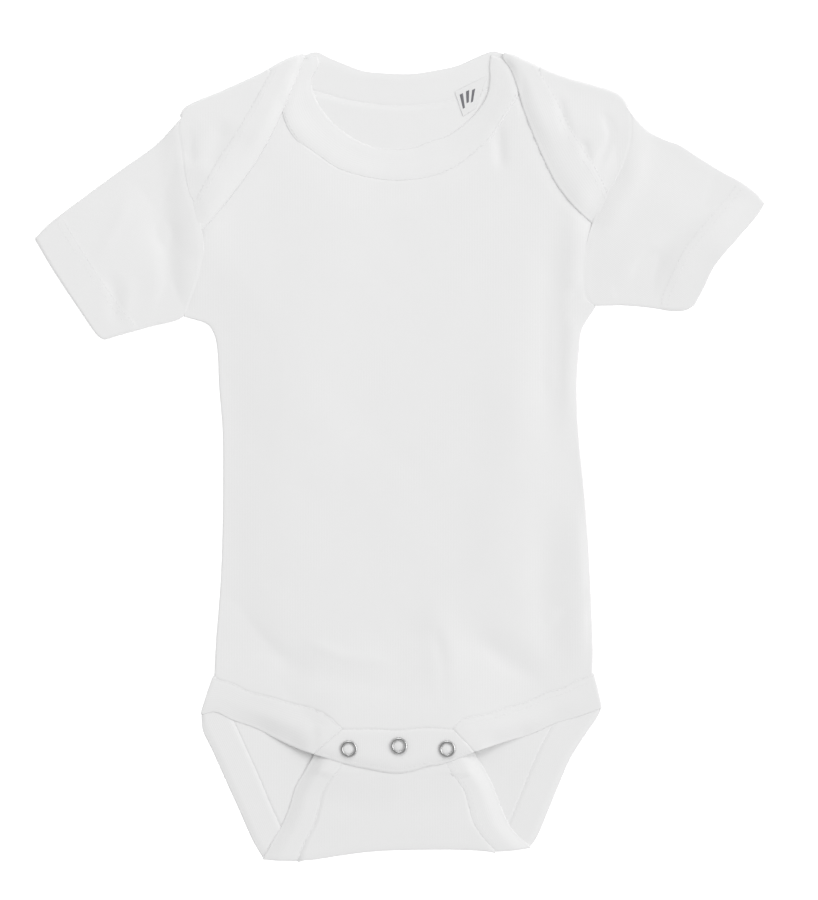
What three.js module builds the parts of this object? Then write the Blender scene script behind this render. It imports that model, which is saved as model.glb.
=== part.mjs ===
// A baby's short sleeved bodysuit in white cotton knit, laid flat on its back, in millimetres.
// X runs across it, Y up from the crotch to the neck, Z up from the surface that it lies on.
// Left and right are as seen from above. Half chest 201, whole length 454, sleeve tip to tip 409.
import * as THREE from "three";

// Walls
const KNIT = 1.0; // one layer of the knit
const STRIP = 1.5; // a binding strip, folded over the raw edge
const SEAM = 0.35; // clear gap between two pieces that are sewn to each other

// Height of the middle of each layer above the surface
const LEVEL = {
  back: KNIT / 2,
  backStrip: STRIP / 2,
  front: 1.8,
  neckStrip: 2.05,
  flap: 3.3,
  flapStrip: 3.55,
  tongue: 2.4,
  legStrip: 2.55,
  sleeve: 2.1,
  label: 2.35,
};
const NECK_STRIP_RISE = 0.5; // the front's neck strip climbs onto the back's at the shoulders
const FLAP_RISE = 0.6; // the flap climbs over the front's neck strip
const FLAP_STRIP_RISE = 0.9;
const CLIMB = { strip: 170, flap: 168, over: 18 }; // where these climbs start, and their length in Y
const SNAP_RISE = 3.2; // the snap band stands on its closed snaps
const SNAP_RAMP = 38;
const MIDWAY = 1.5; // height between a sleeve's two layers

// The upper layers' air
const LOFT = 1.5;
const LOFT_REACH = 38;
const LEG_LINE = -150;
const LEG_FADE = 50;

// Steps across and along the pieces
const ACROSS = 3;
const TURN = 5;
const COUNT = { shoulder: 5, neck: 16, leg: 8, band: 10, side: 18 };
const UNDER = { shoulder: 6, neck: 8, leg: 7, crotch: 6, side: 11, flap: 8, tongue: 7 };
const SLEEVE = { across: 8, along: 10, hem: 20, hemWall: 1.4 };
const HIDDEN = 4; // steps of the front's neck strip under each flap
const SIDE_FADE = 3; // how quickly the bends of a quilt's sides fade inwards
const END_FADE = 2; // the same for the bends of its first and last rows

// Edges seen from above: each row is one [x, y] point of the edge
const OUTLINE = {
  left: {
    shoulder: [[-124, 189], [-120.6, 195], [-98.6, 205], [-77.8, 214.5], [-74.6, 216.3]],
    bump: [[-74, 216.6], [-68.9, 220.1], [-58, 224.6], [-46.5, 226.1]],
    sleeveTop: [[-124.2, 187.4], [-137.2, 174.2], [-155.7, 160.7], [-175.3, 146.2], [-196.6, 129.9],
      [-204.6, 121.8]],
    cuff: [[-204.6, 121.8], [-194.3, 105], [-179.6, 82.8], [-168.6, 67.2], [-165.4, 64.6]],
    sleeveUnder: [[-120.2, 78.2], [-123.5, 76], [-139.4, 72.2], [-155.7, 67.6], [-165.4, 64.6]],
    armhole: [[-123.6, 187.6], [-121.5, 171.4], [-119.3, 154.6], [-114.8, 140.6], [-111.4, 129.4],
      [-109.8, 116.5], [-112, 101.4], [-117, 87.4], [-119.8, 78.6]],
    side: [[-105.4, -122.8], [-103, -103], [-101.6, -86], [-100.2, -65], [-99.4, -40], [-99.1, -5],
      [-99.4, 15], [-101.4, 40], [-102.2, 58], [-103.6, 66.5], [-107.2, 73.2], [-113.1, 77.3],
      [-119.2, 79]],
  },
  right: {
    shoulder: [[129, 194.6], [123.4, 202.2], [108.6, 207.8], [94.6, 211.7], [81.2, 216.7], [79.6, 217.4]],
    bump: [[79, 217.7], [72.8, 220.9], [64.5, 225], [52.5, 226.9]],
    sleeveTop: [[129.2, 193], [133.3, 187.6], [139.4, 182], [149, 177], [156.8, 174.2], [166.3, 168],
      [179.8, 159.6], [192.1, 152.9], [199.4, 147.3], [204.4, 141.7]],
    cuff: [[204.4, 141.7], [199.4, 134.4], [189.3, 122.6], [180.9, 113.1], [174.7, 104.7], [169.7, 94.1],
      [165.2, 84]],
    sleeveUnder: [[109, 83.4], [124.9, 84], [139.4, 82.9], [152.9, 80.9], [160.4, 81.4], [165.2, 84]],
    armhole: [[128.6, 193.2], [128.2, 175.3], [123.8, 161.3], [117.6, 151.2], [111.4, 139.4],
      [107.5, 129.4], [104.2, 118.2], [102.5, 107], [102.5, 95.8], [104.7, 87.4], [108.4, 83.4]],
    side: [[109.4, -121.2], [108.2, -110], [107.5, -90], [106.6, -68], [105.3, -45], [103, -16], [101, 3],
      [99.4, 25], [99.3, 45], [100.5, 60], [101.9, 70.6], [104.2, 76.2], [107.9, 83]],
  },
};

// The round neck: the front's strip, the back's strip, and the two flaps that the back lays over it
const NECK = {
  frontSeam: [[-64.5, 214], [-66.8, 204], [-65.5, 191], [-59.4, 178.1], [-44.8, 166.3], [-35.3, 160],
    [-18.5, 155], [0, 153], [20.7, 156.2], [32.5, 161.8], [42, 169.1], [49.8, 176.4], [57.5, 188],
    [63.5, 202], [66.5, 214.5]],
  frontEdge: [[-45.2, 220], [-49.6, 211], [-47.6, 200.5], [-42, 191], [-33.6, 182.6], [-24.1, 176.4],
    [-12.9, 172.2], [-1.1, 171.4], [8.4, 172.5], [16.8, 175.8], [26.9, 179.2], [36.4, 185.9],
    [44.2, 193.8], [49.3, 202.7], [50.6, 212], [49.6, 220.8]],
  backEdge: [[-40, 223.1], [-31.9, 219.8], [-20.7, 215.6], [-11.2, 214.5], [-1.1, 213.9], [8.4, 214.1],
    [21.8, 216.2], [32.5, 218.6], [40.5, 222.2], [46, 224.6]],
  backSeam: [[-62, 207.5], [-45, 202], [-25, 197], [0, 194.6], [25, 197], [45, 202.5], [65, 209]],
};
const FLAP = {
  left: {
    edge: [[-53.5, 223], [-57, 215], [-59.9, 207.2], [-68.3, 187.6], [-76.2, 171.9], [-85.7, 157.4],
      [-102.5, 135.5], [-110.6, 125.6]],
    seam: [[-84, 195.4], [-93, 180.3], [-100.8, 169.1], [-108.6, 155.1], [-114.3, 141.6]],
    end: [-116.4, 147],
  },
  right: {
    edge: [[57.5, 222.8], [61.6, 217.3], [65.5, 207.2], [68.9, 194.9], [73.9, 181.4], [80.6, 165.8],
      [86.8, 153.4], [91.8, 146.2], [98, 138.9], [107.2, 130.4]],
    seam: [[89.6, 197.7], [98, 180.9], [106.4, 168.6], [113.8, 155.6], [115.2, 147.8]],
    end: [118.8, 154],
  },
};
// The front's own shoulder line, under each flap, between its sleeve seam and its neck seam
const SHOULDER_LINE = {
  left: [[-103, 186], [-84, 191.5]],
  right: [[84, 195], [106, 190]],
};

// Leg openings, each bound by one strip: along the front, round the hip, along the back, round the
// crotch and up the tongue
const LEG = {
  left: {
    frontEdge: [[-48.2, -166.3], [-58.2, -163], [-69.4, -157.9], [-80.6, -152.3], [-94.6, -147.3],
      [-103.6, -143.2], [-111, -144.4]],
    frontSeam: [[-31.4, -151.8], [-39.2, -144.5], [-48.7, -140], [-58.2, -137.8], [-72.2, -133.8],
      [-85.1, -130.5], [-92.4, -126.8], [-103.8, -123.3]],
    backEdge: [[-111, -146], [-110.2, -153.4], [-104.9, -164.6], [-97.4, -181.4], [-89.8, -198.2],
      [-82.3, -215], [-76.4, -225.2]],
    backSeam: [[-103.8, -123.3], [-97, -139], [-90.7, -151.2], [-84.5, -165], [-78, -179.5], [-71.5, -195],
      [-64, -211], [-56, -225.2]],
    tongueEdge: [[-76.4, -225.2], [-72, -217], [-66.6, -207.8], [-62.2, -197.7], [-58.2, -184.8],
      [-52.6, -175.3], [-47.6, -166.5], [-43.5, -155]],
    tongueSeam: [[-56, -225.2], [-52, -215.4], [-47, -206.1], [-44.2, -196], [-42, -187.6], [-36.4, -179.2],
      [-30.8, -171.9], [-25.5, -163], [-23.5, -155]],
  },
  right: {
    frontEdge: [[41.4, -165.2], [59.4, -159.6], [74.5, -155.1], [85.7, -150.1], [101.9, -145],
      [112.5, -141]],
    frontSeam: [[28.6, -151.8], [33, -146.7], [49.8, -142.8], [58.2, -140], [71.7, -136.1], [80.6, -131.6],
      [90.2, -129], [97.4, -125], [107.8, -121.8]],
    backEdge: [[112.6, -142.2], [109.7, -147.2], [101.7, -158.8], [94.9, -170], [88.4, -185],
      [82.5, -199.4], [76.7, -213], [72.8, -218.8]],
    backSeam: [[107.8, -121.8], [98, -135], [87, -146.5], [80, -158], [73.5, -172], [67.5, -187],
      [60, -205], [52, -220.3]],
    tongueEdge: [[72.8, -218.8], [65, -212], [59.4, -203.5], [55.4, -194], [52.1, -185.4], [46.5, -174.2],
      [40.9, -165.2], [36.5, -155]],
    tongueSeam: [[52, -220.3], [45.6, -213.4], [39.8, -204.4], [37.6, -196], [35.3, -187.6], [30.8, -180.9],
      [25.8, -173.6], [22, -164], [20.5, -155]],
  },
};
const CROTCH = [[-56, -225.2], [-46, -224.4], [-33.8, -222.4], [-15.7, -220.1], [5.6, -219.2],
  [37, -219.2], [52, -220.3]];
const SHOULDER_INSET = { outer: 1.9, inner: 2.2 }; // from a shoulder's outline in to its fold's flat part
const TIP_CLEAR = 3; // between a flap's tip and the next station of its sleeve seam
const SNAP_BAND = {
  top: [[-31.4, -151.8], [-15.7, -151.6], [0, -152.2], [14, -150.8], [28.6, -151.8]],
  bottom: [[-48.2, -166.3], [-30.2, -171.9], [-16.8, -174.9], [-2.2, -177], [6.7, -175.8], [14, -173.6],
    [25.2, -171.4], [41.4, -165.2]],
  field: { left: -46, right: 40, low: -178, high: -151 }, // the box that the band lies in
};

// Ring snaps of 9.5, seen on the band, each closed on a stud that stands on the tongue's knit or,
// for the outer two, on its strips
const SNAPS = [
  { name: "left", x: -28.6, y: -163.5, tilt: 0, bed: LEVEL.legStrip + STRIP / 2 },
  { name: "middle", x: -0.6, y: -161.8, tilt: -0.07, bed: LEVEL.tongue + KNIT / 2 },
  { name: "right", x: 26.3, y: -163.5, tilt: 0, bed: LEVEL.legStrip + STRIP / 2 },
];
const RING = { outer: 4.75, inner: 2.95, height: 1.0, sides: 24 };
const STUD = { outer: 5.2, rim: 4.2, hole: 0.9, flange: 0.5, sides: 16 };

const LABEL = {
  bottom: [[35.3, 190.4], [42.2, 194.6]],
  top: [[30.8, 203.8], [48.8, 212.8]],
  across: 3,
  along: 2,
};

// Main folds of the upper layers: a path, the half width of its slope, and the height of its crest
const FOLDS = [
  { name: "right side trough", width: 10, height: -1.5,
    path: [[97, 138], [91, 75], [90, 50], [92, -2], [84, -34], [79, -66], [84, -98], [95, -112]] },
  { name: "right side ridge", width: 13, height: 1.5,
    path: [[78, 95], [74, 50], [74, 0], [66, -34], [60, -66], [64, -98]] },
  { name: "outer right ridge", width: 8, height: 0.9, path: [[97, -30], [96, -66], [99, -100]] },
  { name: "left armhole trough", width: 9, height: -1.3, path: [[-121, 172], [-118, 140], [-113, 116], [-119, 94]] },
  { name: "right armhole trough", width: 8, height: -1.3, path: [[127, 172], [118, 158], [109, 138], [105, 112]] },
  { name: "left sleeve ridge", width: 12, height: 1.0, path: [[-135, 150], [-140, 125], [-146, 95]] },
  { name: "right sleeve trough", width: 7, height: -1.2, path: [[190, 146], [168, 124], [157, 112], [143, 97]] },
  { name: "right sleeve ridge", width: 9, height: 1.1, path: [[172, 148], [153, 133], [138, 117]] },
  { name: "chest ridge", width: 20, height: 0.8, path: [[-40, 130], [-50, 70], [-46, 0]] },
  { name: "belly ridge", width: 9, height: 1.2, path: [[20, -88], [24, -112], [26, -138]] },
  { name: "left hip trough", width: 14, height: -1.0, path: [[-92, -98], [-66, -116]] },
  { name: "right hip trough", width: 11, height: -1.0, path: [[46, -106], [74, -122]] },
  { name: "trough above the snaps", width: 9, height: -1.2, path: [[-55, -122], [-20, -132], [10, -130]] },
];
const FOLD_CLEAR = 14;

const WHITE = { color: 0xf2f2f0, roughness: 0.92, metalness: 0 };
const STRIP_WHITE = { color: 0xefefed, roughness: 0.92, metalness: 0 };
const NICKEL = { color: 0xb9babb, roughness: 0.28, metalness: 1 };

const ease = (t) => {
  const s = Math.min(1, Math.max(0, t));
  return s * s * (3 - 2 * s);
};
const vector = ([x, y, z = 0]) => new THREE.Vector3(x, y, z);

// A smooth run through hand chosen points, as evenly spaced stations.
function run(points, steps) {
  const path = points.map((p) => (p.isVector3 ? p.clone() : vector(p)));
  if (path.length === 2) {
    return new THREE.LineCurve3(path[0], path[1]).getSpacedPoints(steps);
  }
  return new THREE.CatmullRomCurve3(path, false, "centripetal").getSpacedPoints(steps);
}

// Runs laid end to end, each sharing its first station with the last one of the run before.
const chain = (...runs) => runs.flatMap((part, k) => (k ? part.slice(1) : part));

// A line moved sideways in plan, to its left for a positive distance.
function sideways(line, distance) {
  return line.map((p, k) => {
    const before = line[Math.max(0, k - 1)];
    const after = line[Math.min(line.length - 1, k + 1)];
    const along = after.clone().sub(before).setZ(0).normalize();
    const amount = typeof distance === "function" ? distance(k / (line.length - 1)) : distance;
    return new THREE.Vector3(p.x - along.y * amount, p.y + along.x * amount, p.z);
  });
}

// Distance in plan from a point to a path of [x, y] points.
function away(x, y, path) {
  let nearest = Infinity;
  for (let k = 1; k < path.length; k++) {
    const [ax, ay] = path[k - 1];
    const [bx, by] = path[k];
    const dx = bx - ax;
    const dy = by - ay;
    const t = Math.min(1, Math.max(0, ((x - ax) * dx + (y - ay) * dy) / (dx * dx + dy * dy)));
    nearest = Math.min(nearest, Math.hypot(x - ax - t * dx, y - ay - t * dy));
  }
  return nearest;
}

const CLOSED_EDGES = Object.values(OUTLINE).flatMap((half) => [
  [...half.sleeveTop].reverse().concat(half.shoulder, half.bump),
  [...half.side].concat(half.sleeveUnder),
]);

// How far the upper layers stand above their level: the air between the layers, and the folds.
function lift(x, y) {
  const clear = Math.min(...CLOSED_EDGES.map((edge) => away(x, y, edge)));
  const air = LOFT * ease(clear / LOFT_REACH);
  const folds = FOLDS.reduce((sum, fold) => {
    const far = away(x, y, fold.path) / fold.width;
    return sum + fold.height * Math.exp(-far * far);
  }, 0);
  const body = Math.max(0, air + folds * ease(clear / FOLD_CLEAR)) * ease((y - LEG_LINE) / LEG_FADE);
  const snapLine = away(x, y, SNAP_BAND.top.concat([...SNAP_BAND.bottom].reverse()));
  return body + SNAP_RISE * ease(1 - (insideBand(x, y) ? 0 : snapLine) / SNAP_RAMP);
}

function insideBand(x, y) {
  const { left, right, low, high } = SNAP_BAND.field;
  return y < high && y > low && x > left && x < right;
}

const lifted = (level) => (x, y) => level + lift(x, y);
const flat = (level) => () => level;
const climbing = (level, rise, start) => (x, y) => level + rise * ease((y - start) / CLIMB.over) + lift(x, y);
const neckLevel = climbing(LEVEL.neckStrip, NECK_STRIP_RISE, CLIMB.strip);
const flapLevel = climbing(LEVEL.flap, FLAP_RISE, CLIMB.flap);
const flapStripLevel = climbing(LEVEL.flapStrip, FLAP_STRIP_RISE, CLIMB.flap);

// How far along two lines each station is in plan, as shares from 0 to 1, averaged.
function shares(a, b) {
  const reach = [a, b].map((line) => {
    const sums = [0];
    line.slice(1).forEach((p, k) => sums.push(sums[k] + Math.hypot(p.x - line[k].x, p.y - line[k].y)));
    return sums.map((sum) => sum / sums.at(-1));
  });
  return reach[0].map((share, k) => (share + reach[1][k]) / 2);
}

// What a line's station has beyond the straight line between its ends, at the same share.
function bend(line, k, share) {
  return line[k].clone().sub(line[0].clone().lerp(line.at(-1), share));
}

// A quilt of stations between four edges that meet at their ends: rows run from first to last. The
// edges' bends fade inwards quickly enough that no row crosses the next one.
function quilt(first, last, left, right, level) {
  const down = shares(left, right);
  const across = shares(first, last);
  return down.map((v, i) => across.map((u, j) => {
    const low = first[0].clone().lerp(first.at(-1), u);
    const high = last[0].clone().lerp(last.at(-1), u);
    const p = low.lerp(high, v)
      .addScaledVector(bend(first, j, u), (1 - v) ** END_FADE)
      .addScaledVector(bend(last, j, u), v ** END_FADE)
      .addScaledVector(bend(left, i, v), (1 - u) ** SIDE_FADE)
      .addScaledVector(bend(right, i, v), u ** SIDE_FADE);
    p.z = level(p.x, p.y);
    return p;
  }));
}

// A strip's stations between its seam and its free edge.
function strip(seam, edge, level) {
  return seam.map((p, i) => run([p, edge[i]], ACROSS).map((q) => q.setZ(level(q.x, q.y))));
}

// The rows of a fold between one line and the same line a layer up, round outside the cloth.
function turn(lower, upper, outward) {
  const rows = [];
  for (let k = 1; k < TURN; k++) {
    const angle = (Math.PI * k) / TURN;
    rows.push(lower.map((p, j) => {
      const radius = (upper[j].z - p.z) / 2;
      const q = p.clone().lerp(upper[j], (1 - Math.cos(angle)) / 2);
      return q.addScaledVector(outward[j], radius * Math.sin(angle));
    }));
  }
  return rows;
}

const raised = (line, level) => line.map((p) => new THREE.Vector3(p.x, p.y, level(p.x, p.y)));

// Unit directions square to a line in plan, on its left for side 1 and on its right for side -1.
function squareTo(line, side) {
  const moved = sideways(line, side);
  return line.map((p, k) => moved[k].clone().sub(p).setZ(0).normalize());
}

// Cloth given as patches of stations, with shared edges welded, thickened half its wall each way.
class Cloth {
  constructor(name, look, wall) {
    this.name = name;
    this.look = look;
    this.wall = wall;
    this.points = [];
    this.places = new Map();
    this.faces = [];
  }

  place(p) {
    const key = [p.x, p.y, p.z].map((v) => Math.round(v * 200)).join(" ");
    if (!this.places.has(key)) {
      this.places.set(key, this.points.length);
      this.points.push(p.clone());
    }
    return this.places.get(key);
  }

  add(rows, round = false) {
    const marks = rows.map((row) => row.map((p) => this.place(p)));
    for (let i = 1; i < marks.length; i++) {
      const columns = marks[i].length;
      for (let j = 1; j < columns + (round ? 1 : 0); j++) {
        const k = j % columns;
        this.faces.push([marks[i - 1][j - 1], marks[i - 1][k], marks[i][k], marks[i][j - 1]]);
      }
    }
    return this;
  }

  mesh() {
    const normals = this.points.map(() => new THREE.Vector3());
    for (const face of this.faces) {
      const [a, b, c, d] = face.map((k) => this.points[k]);
      const normal = c.clone().sub(a).cross(d.clone().sub(b)).normalize();
      face.forEach((k) => normals[k].add(normal));
    }
    const triangles = [];
    const edges = new Set(this.faces.flatMap((face) => face.map((k, n) => k + " " + face[(n + 1) % 4])));
    const upper = (k) => 2 * k;
    const lower = (k) => 2 * k + 1;
    for (const face of this.faces) {
      const [a, b, c, d] = face;
      triangles.push([upper(a), upper(b), upper(c)], [upper(a), upper(c), upper(d)]);
      triangles.push([lower(c), lower(b), lower(a)], [lower(d), lower(c), lower(a)]);
      face.forEach((p, n) => {
        const q = face[(n + 1) % 4];
        if (edges.has(q + " " + p)) return;
        triangles.push([upper(p), lower(p), lower(q)], [upper(p), lower(q), upper(q)]);
      });
    }
    const corners = this.points.flatMap((p, k) => {
      const half = (typeof this.wall === "function" ? this.wall(p) : this.wall) / 2;
      const up = normals[k].normalize();
      return [p.clone().addScaledVector(up, half), p.clone().addScaledVector(up, -half)];
    });
    return solid(this.name, this.look, corners, triangles);
  }
}

// A named mesh from corners and triangles, turned to face outwards.
function solid(name, look, corners, triangles) {
  const kept = triangles.filter(([a, b, c]) => a !== b && b !== c && c !== a);
  const volume = kept.reduce((sum, [a, b, c]) => {
    return sum + corners[a].dot(corners[b].clone().cross(corners[c])) / 6;
  }, 0);
  const faces = volume < 0 ? kept.map(([a, b, c]) => [a, c, b]) : kept;
  const geometry = new THREE.BufferGeometry().setFromPoints(corners);
  geometry.setIndex(faces.flat());
  geometry.computeVertexNormals();
  const mesh = new THREE.Mesh(geometry, new THREE.MeshStandardMaterial(look));
  mesh.name = name;
  return mesh;
}

// Seams that two pieces share, so that both have the same stations
const neckSeam = run(NECK.frontSeam, COUNT.neck + 2 * HIDDEN);
const neckEdge = run(NECK.frontEdge, COUNT.neck + 2 * HIDDEN);
const openNeck = neckSeam.slice(HIDDEN, COUNT.neck + HIDDEN + 1);
const legSeams = {
  left: run(LEG.left.frontSeam, COUNT.leg),
  right: run(LEG.right.frontSeam, COUNT.leg),
};
const bandTop = run(SNAP_BAND.top, COUNT.band);
const armholes = {};
const flapSeams = {};
const foldLines = {};
for (const [side, half] of Object.entries(OUTLINE)) {
  const inward = side === "left" ? -1 : 1;
  armholes[side] = run(half.armhole, SLEEVE.across);
  const radius = (LEVEL.flapStrip + FLAP_STRIP_RISE - LEVEL.backStrip + STRIP) / 2;
  foldLines[side] = sideways(run(half.bump, ACROSS), inward * radius);
  flapSeams[side] = run([foldLines[side][0], ...FLAP[side].seam.map(vector)], UNDER.flap);
}

// A sleeve seam on the body's side of its gap, from the underarm up.
function bodySide(side) {
  return sideways(armholes[side], side === "left" ? SEAM : -SEAM).reverse();
}

// A side of the body, from its corner at the leg, up the side and on up the sleeve seam.
function bodyRail(side, corner, sleeveSeam, steps) {
  const up = OUTLINE[side].side.slice(1, -2).map(vector);
  return chain(run([corner, ...up, sleeveSeam[0]], steps), sleeveSeam);
}

function frontPanel() {
  const cloth = new Cloth("front_panel", WHITE, KNIT);
  const seam = sideways(openNeck, -SEAM);
  const sleeveSeams = { left: bodySide("left"), right: bodySide("right") };
  const left = run([sleeveSeams.left.at(-2), ...SHOULDER_LINE.left, seam[0]], COUNT.shoulder);
  const right = run([seam.at(-1), ...SHOULDER_LINE.right, sleeveSeams.right.at(-2)], COUNT.shoulder);
  const top = chain(left, seam, right);
  const bottom = sideways(chain([...legSeams.left].reverse(), bandTop, legSeams.right), SEAM);
  const leftRail = bodyRail("left", bottom[0], sleeveSeams.left.slice(0, -1), COUNT.side);
  const rightRail = bodyRail("right", bottom.at(-1), sleeveSeams.right.slice(0, -1), COUNT.side);
  return cloth.add(quilt(bottom, top, leftRail, rightRail, lifted(LEVEL.front))).mesh();
}

// The whole back: the lower layer, the tongue folded up at the crotch, and both shoulder flaps.
function backPanel() {
  const cloth = new Cloth("back_panel", WHITE, KNIT);
  const level = flat(LEVEL.back);
  const folds = {};
  for (const [side, half] of Object.entries(OUTLINE)) {
    const inward = side === "left" ? -1 : 1;
    const { outer, inner } = SHOULDER_INSET;
    const depth = (t) => inward * (outer + (inner - outer) * t);
    folds[side] = sideways(run(half.shoulder, UNDER.shoulder), depth);
  }
  const neck = sideways(backNeckSeam(), -SEAM);
  const left = folds.left;
  const right = folds.right.reverse();
  neck[0].copy(left.at(-1));
  neck[neck.length - 1].copy(right[0]);
  const top = chain(left, neck, right);
  const crotch = run(CROTCH, UNDER.crotch);
  const legLeft = sideways(run(LEG.left.backSeam, UNDER.leg), SEAM);
  const legRight = sideways(run(LEG.right.backSeam, UNDER.leg), -SEAM);
  crotch[0].copy(legLeft.at(-1));
  crotch[crotch.length - 1].copy(legRight.at(-1));
  const bottom = chain(legLeft, crotch, legRight.reverse());
  const leftSeam = [...bodySide("left").slice(0, -1), top[0]];
  const rightSeam = [...bodySide("right").slice(0, -1), top.at(-1)];
  const leftRail = bodyRail("left", bottom[0], leftSeam, UNDER.side);
  const rightRail = bodyRail("right", bottom.at(-1), rightSeam, UNDER.side);
  const base = quilt(bottom, top, leftRail, rightRail, level);
  cloth.add(base);

  const tongueLeft = sideways(run(LEG.left.tongueSeam, UNDER.tongue), -SEAM);
  const tongueRight = sideways(run(LEG.right.tongueSeam, UNDER.tongue), SEAM);
  const foldRow = base[0].slice(UNDER.leg, UNDER.leg + UNDER.crotch + 1);
  tongueLeft[0].copy(foldRow[0]);
  tongueRight[0].copy(foldRow.at(-1));
  const tongueEnd = run([tongueLeft.at(-1), tongueRight.at(-1)], UNDER.crotch);
  const tongue = quilt(foldRow, tongueEnd, tongueLeft, tongueRight, flat(LEVEL.tongue));
  const under = turn(foldRow, tongue[0], squareTo(foldRow, -1));
  cloth.add([...tongue].reverse().concat(under.reverse(), [foldRow]));

  const topRow = base.at(-1);
  const rows = {
    left: topRow.slice(0, UNDER.shoulder + 1),
    right: topRow.slice(-UNDER.shoulder - 1),
  };
  for (const [side, row] of Object.entries(rows)) {
    const isLeft = side === "left";
    const seam = sideways(flapSeams[side], isLeft ? -SEAM : SEAM);
    const sleeveSeam = bodySide(side).reverse();
    const tip = vector(FLAP[side].end);
    const start = isLeft ? row[0] : row.at(-1);
    const between = sleeveSeam.filter((p) => p.y > tip.y + TIP_CLEAR && p.y < start.y - TIP_CLEAR);
    const outer = run([start, ...between, tip], UNDER.flap);
    seam[0].copy(isLeft ? row.at(-1) : row[0]);
    const near = isLeft ? outer : seam;
    const far = isLeft ? seam : outer;
    const last = run([near.at(-1), far.at(-1)], UNDER.shoulder);
    const flap = quilt(row, last, near, far, flapLevel);
    const outward = squareTo(row, 1);
    const armholeEnd = isLeft ? 0 : row.length - 1;
    outward[armholeEnd] = start.clone().sub(outer[1]).setZ(0).normalize();
    cloth.add([row].concat(turn(row, flap[0], outward), flap));
  }
  return cloth.mesh();
}

function backNeckSeam() {
  const ends = [foldLines.left[0], foldLines.right[0]];
  return run([ends[0], ...NECK.backSeam.map(vector), ends[1]], UNDER.neck);
}

// One strip from the left flap's end, over the left shoulder, round the back of the neck, over the
// right shoulder and down the right flap.
function backNeckBand() {
  const cloth = new Cloth("back_neck_band", STRIP_WHITE, STRIP);
  const onFlap = (side) => {
    const fold = foldLines[side];
    const edge = run([fold.at(-1), ...FLAP[side].edge.map(vector)], UNDER.flap);
    return strip(flapSeams[side], edge, flapStripLevel);
  };
  const leftFlap = onFlap("left");
  const rightFlap = onFlap("right");
  const edge = run([foldLines.left.at(-1), ...NECK.backEdge.map(vector), foldLines.right.at(-1)], UNDER.neck);
  const neck = strip(backNeckSeam(), edge, flat(LEVEL.backStrip));
  const straightLeft = raised(foldLines.left, flat(LEVEL.backStrip));
  const straightRight = raised(foldLines.right, flat(LEVEL.backStrip));
  const leftTurn = turn(straightLeft, leftFlap[0], squareTo(foldLines.left, 1));
  const rightTurn = turn(straightRight, rightFlap[0], squareTo(foldLines.right, -1));
  neck[0] = straightLeft;
  neck[neck.length - 1] = straightRight;
  const rows = [...leftFlap].reverse().concat(leftTurn.reverse(), neck, rightTurn, rightFlap);
  return cloth.add(rows).mesh();
}

function frontNeckBand() {
  const cloth = new Cloth("front_neck_band", STRIP_WHITE, STRIP);
  return cloth.add(strip(neckSeam, neckEdge, neckLevel)).mesh();
}

// One strip round a leg opening: front edge, hip fold, back edge, crotch fold, tongue edge.
function legBand(side) {
  const cloth = new Cloth("leg_band_" + side, STRIP_WHITE, STRIP);
  const leg = LEG[side];
  const isLeft = side === "left";
  const front = strip(legSeams[side], run(leg.frontEdge, COUNT.leg), lifted(LEVEL.legStrip));
  const back = strip(run(leg.backSeam, UNDER.leg), run(leg.backEdge, UNDER.leg), flat(LEVEL.backStrip));
  const tongueSeam = run(leg.tongueSeam, UNDER.tongue);
  const tongue = strip(tongueSeam, run(leg.tongueEdge, UNDER.tongue), flat(LEVEL.legStrip));
  const hip = front.at(-1);
  back[0] = raised(hip, flat(LEVEL.backStrip));
  const hipTurn = turn(back[0], hip, squareTo(hip, isLeft ? -1 : 1)).reverse();
  const crotch = back.at(-1);
  const crotchTurn = turn(crotch, tongue[0], squareTo(crotch, isLeft ? 1 : -1));
  return cloth.add(front.concat(hipTurn, back, crotchTurn, tongue)).mesh();
}

function snapBand() {
  const cloth = new Cloth("front_snap_band", STRIP_WHITE, STRIP);
  const top = sideways(bandTop, -SEAM);
  const bottom = run(SNAP_BAND.bottom, COUNT.band);
  top[0].x += SEAM;
  top.at(-1).x -= SEAM;
  bottom[0].x += 2 * SEAM;
  bottom.at(-1).x -= 2 * SEAM;
  const left = run([top[0], bottom[0]], ACROSS);
  const right = run([top.at(-1), bottom.at(-1)], ACROSS);
  return cloth.add(quilt(top, bottom, left, right, lifted(LEVEL.legStrip))).mesh();
}

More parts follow.
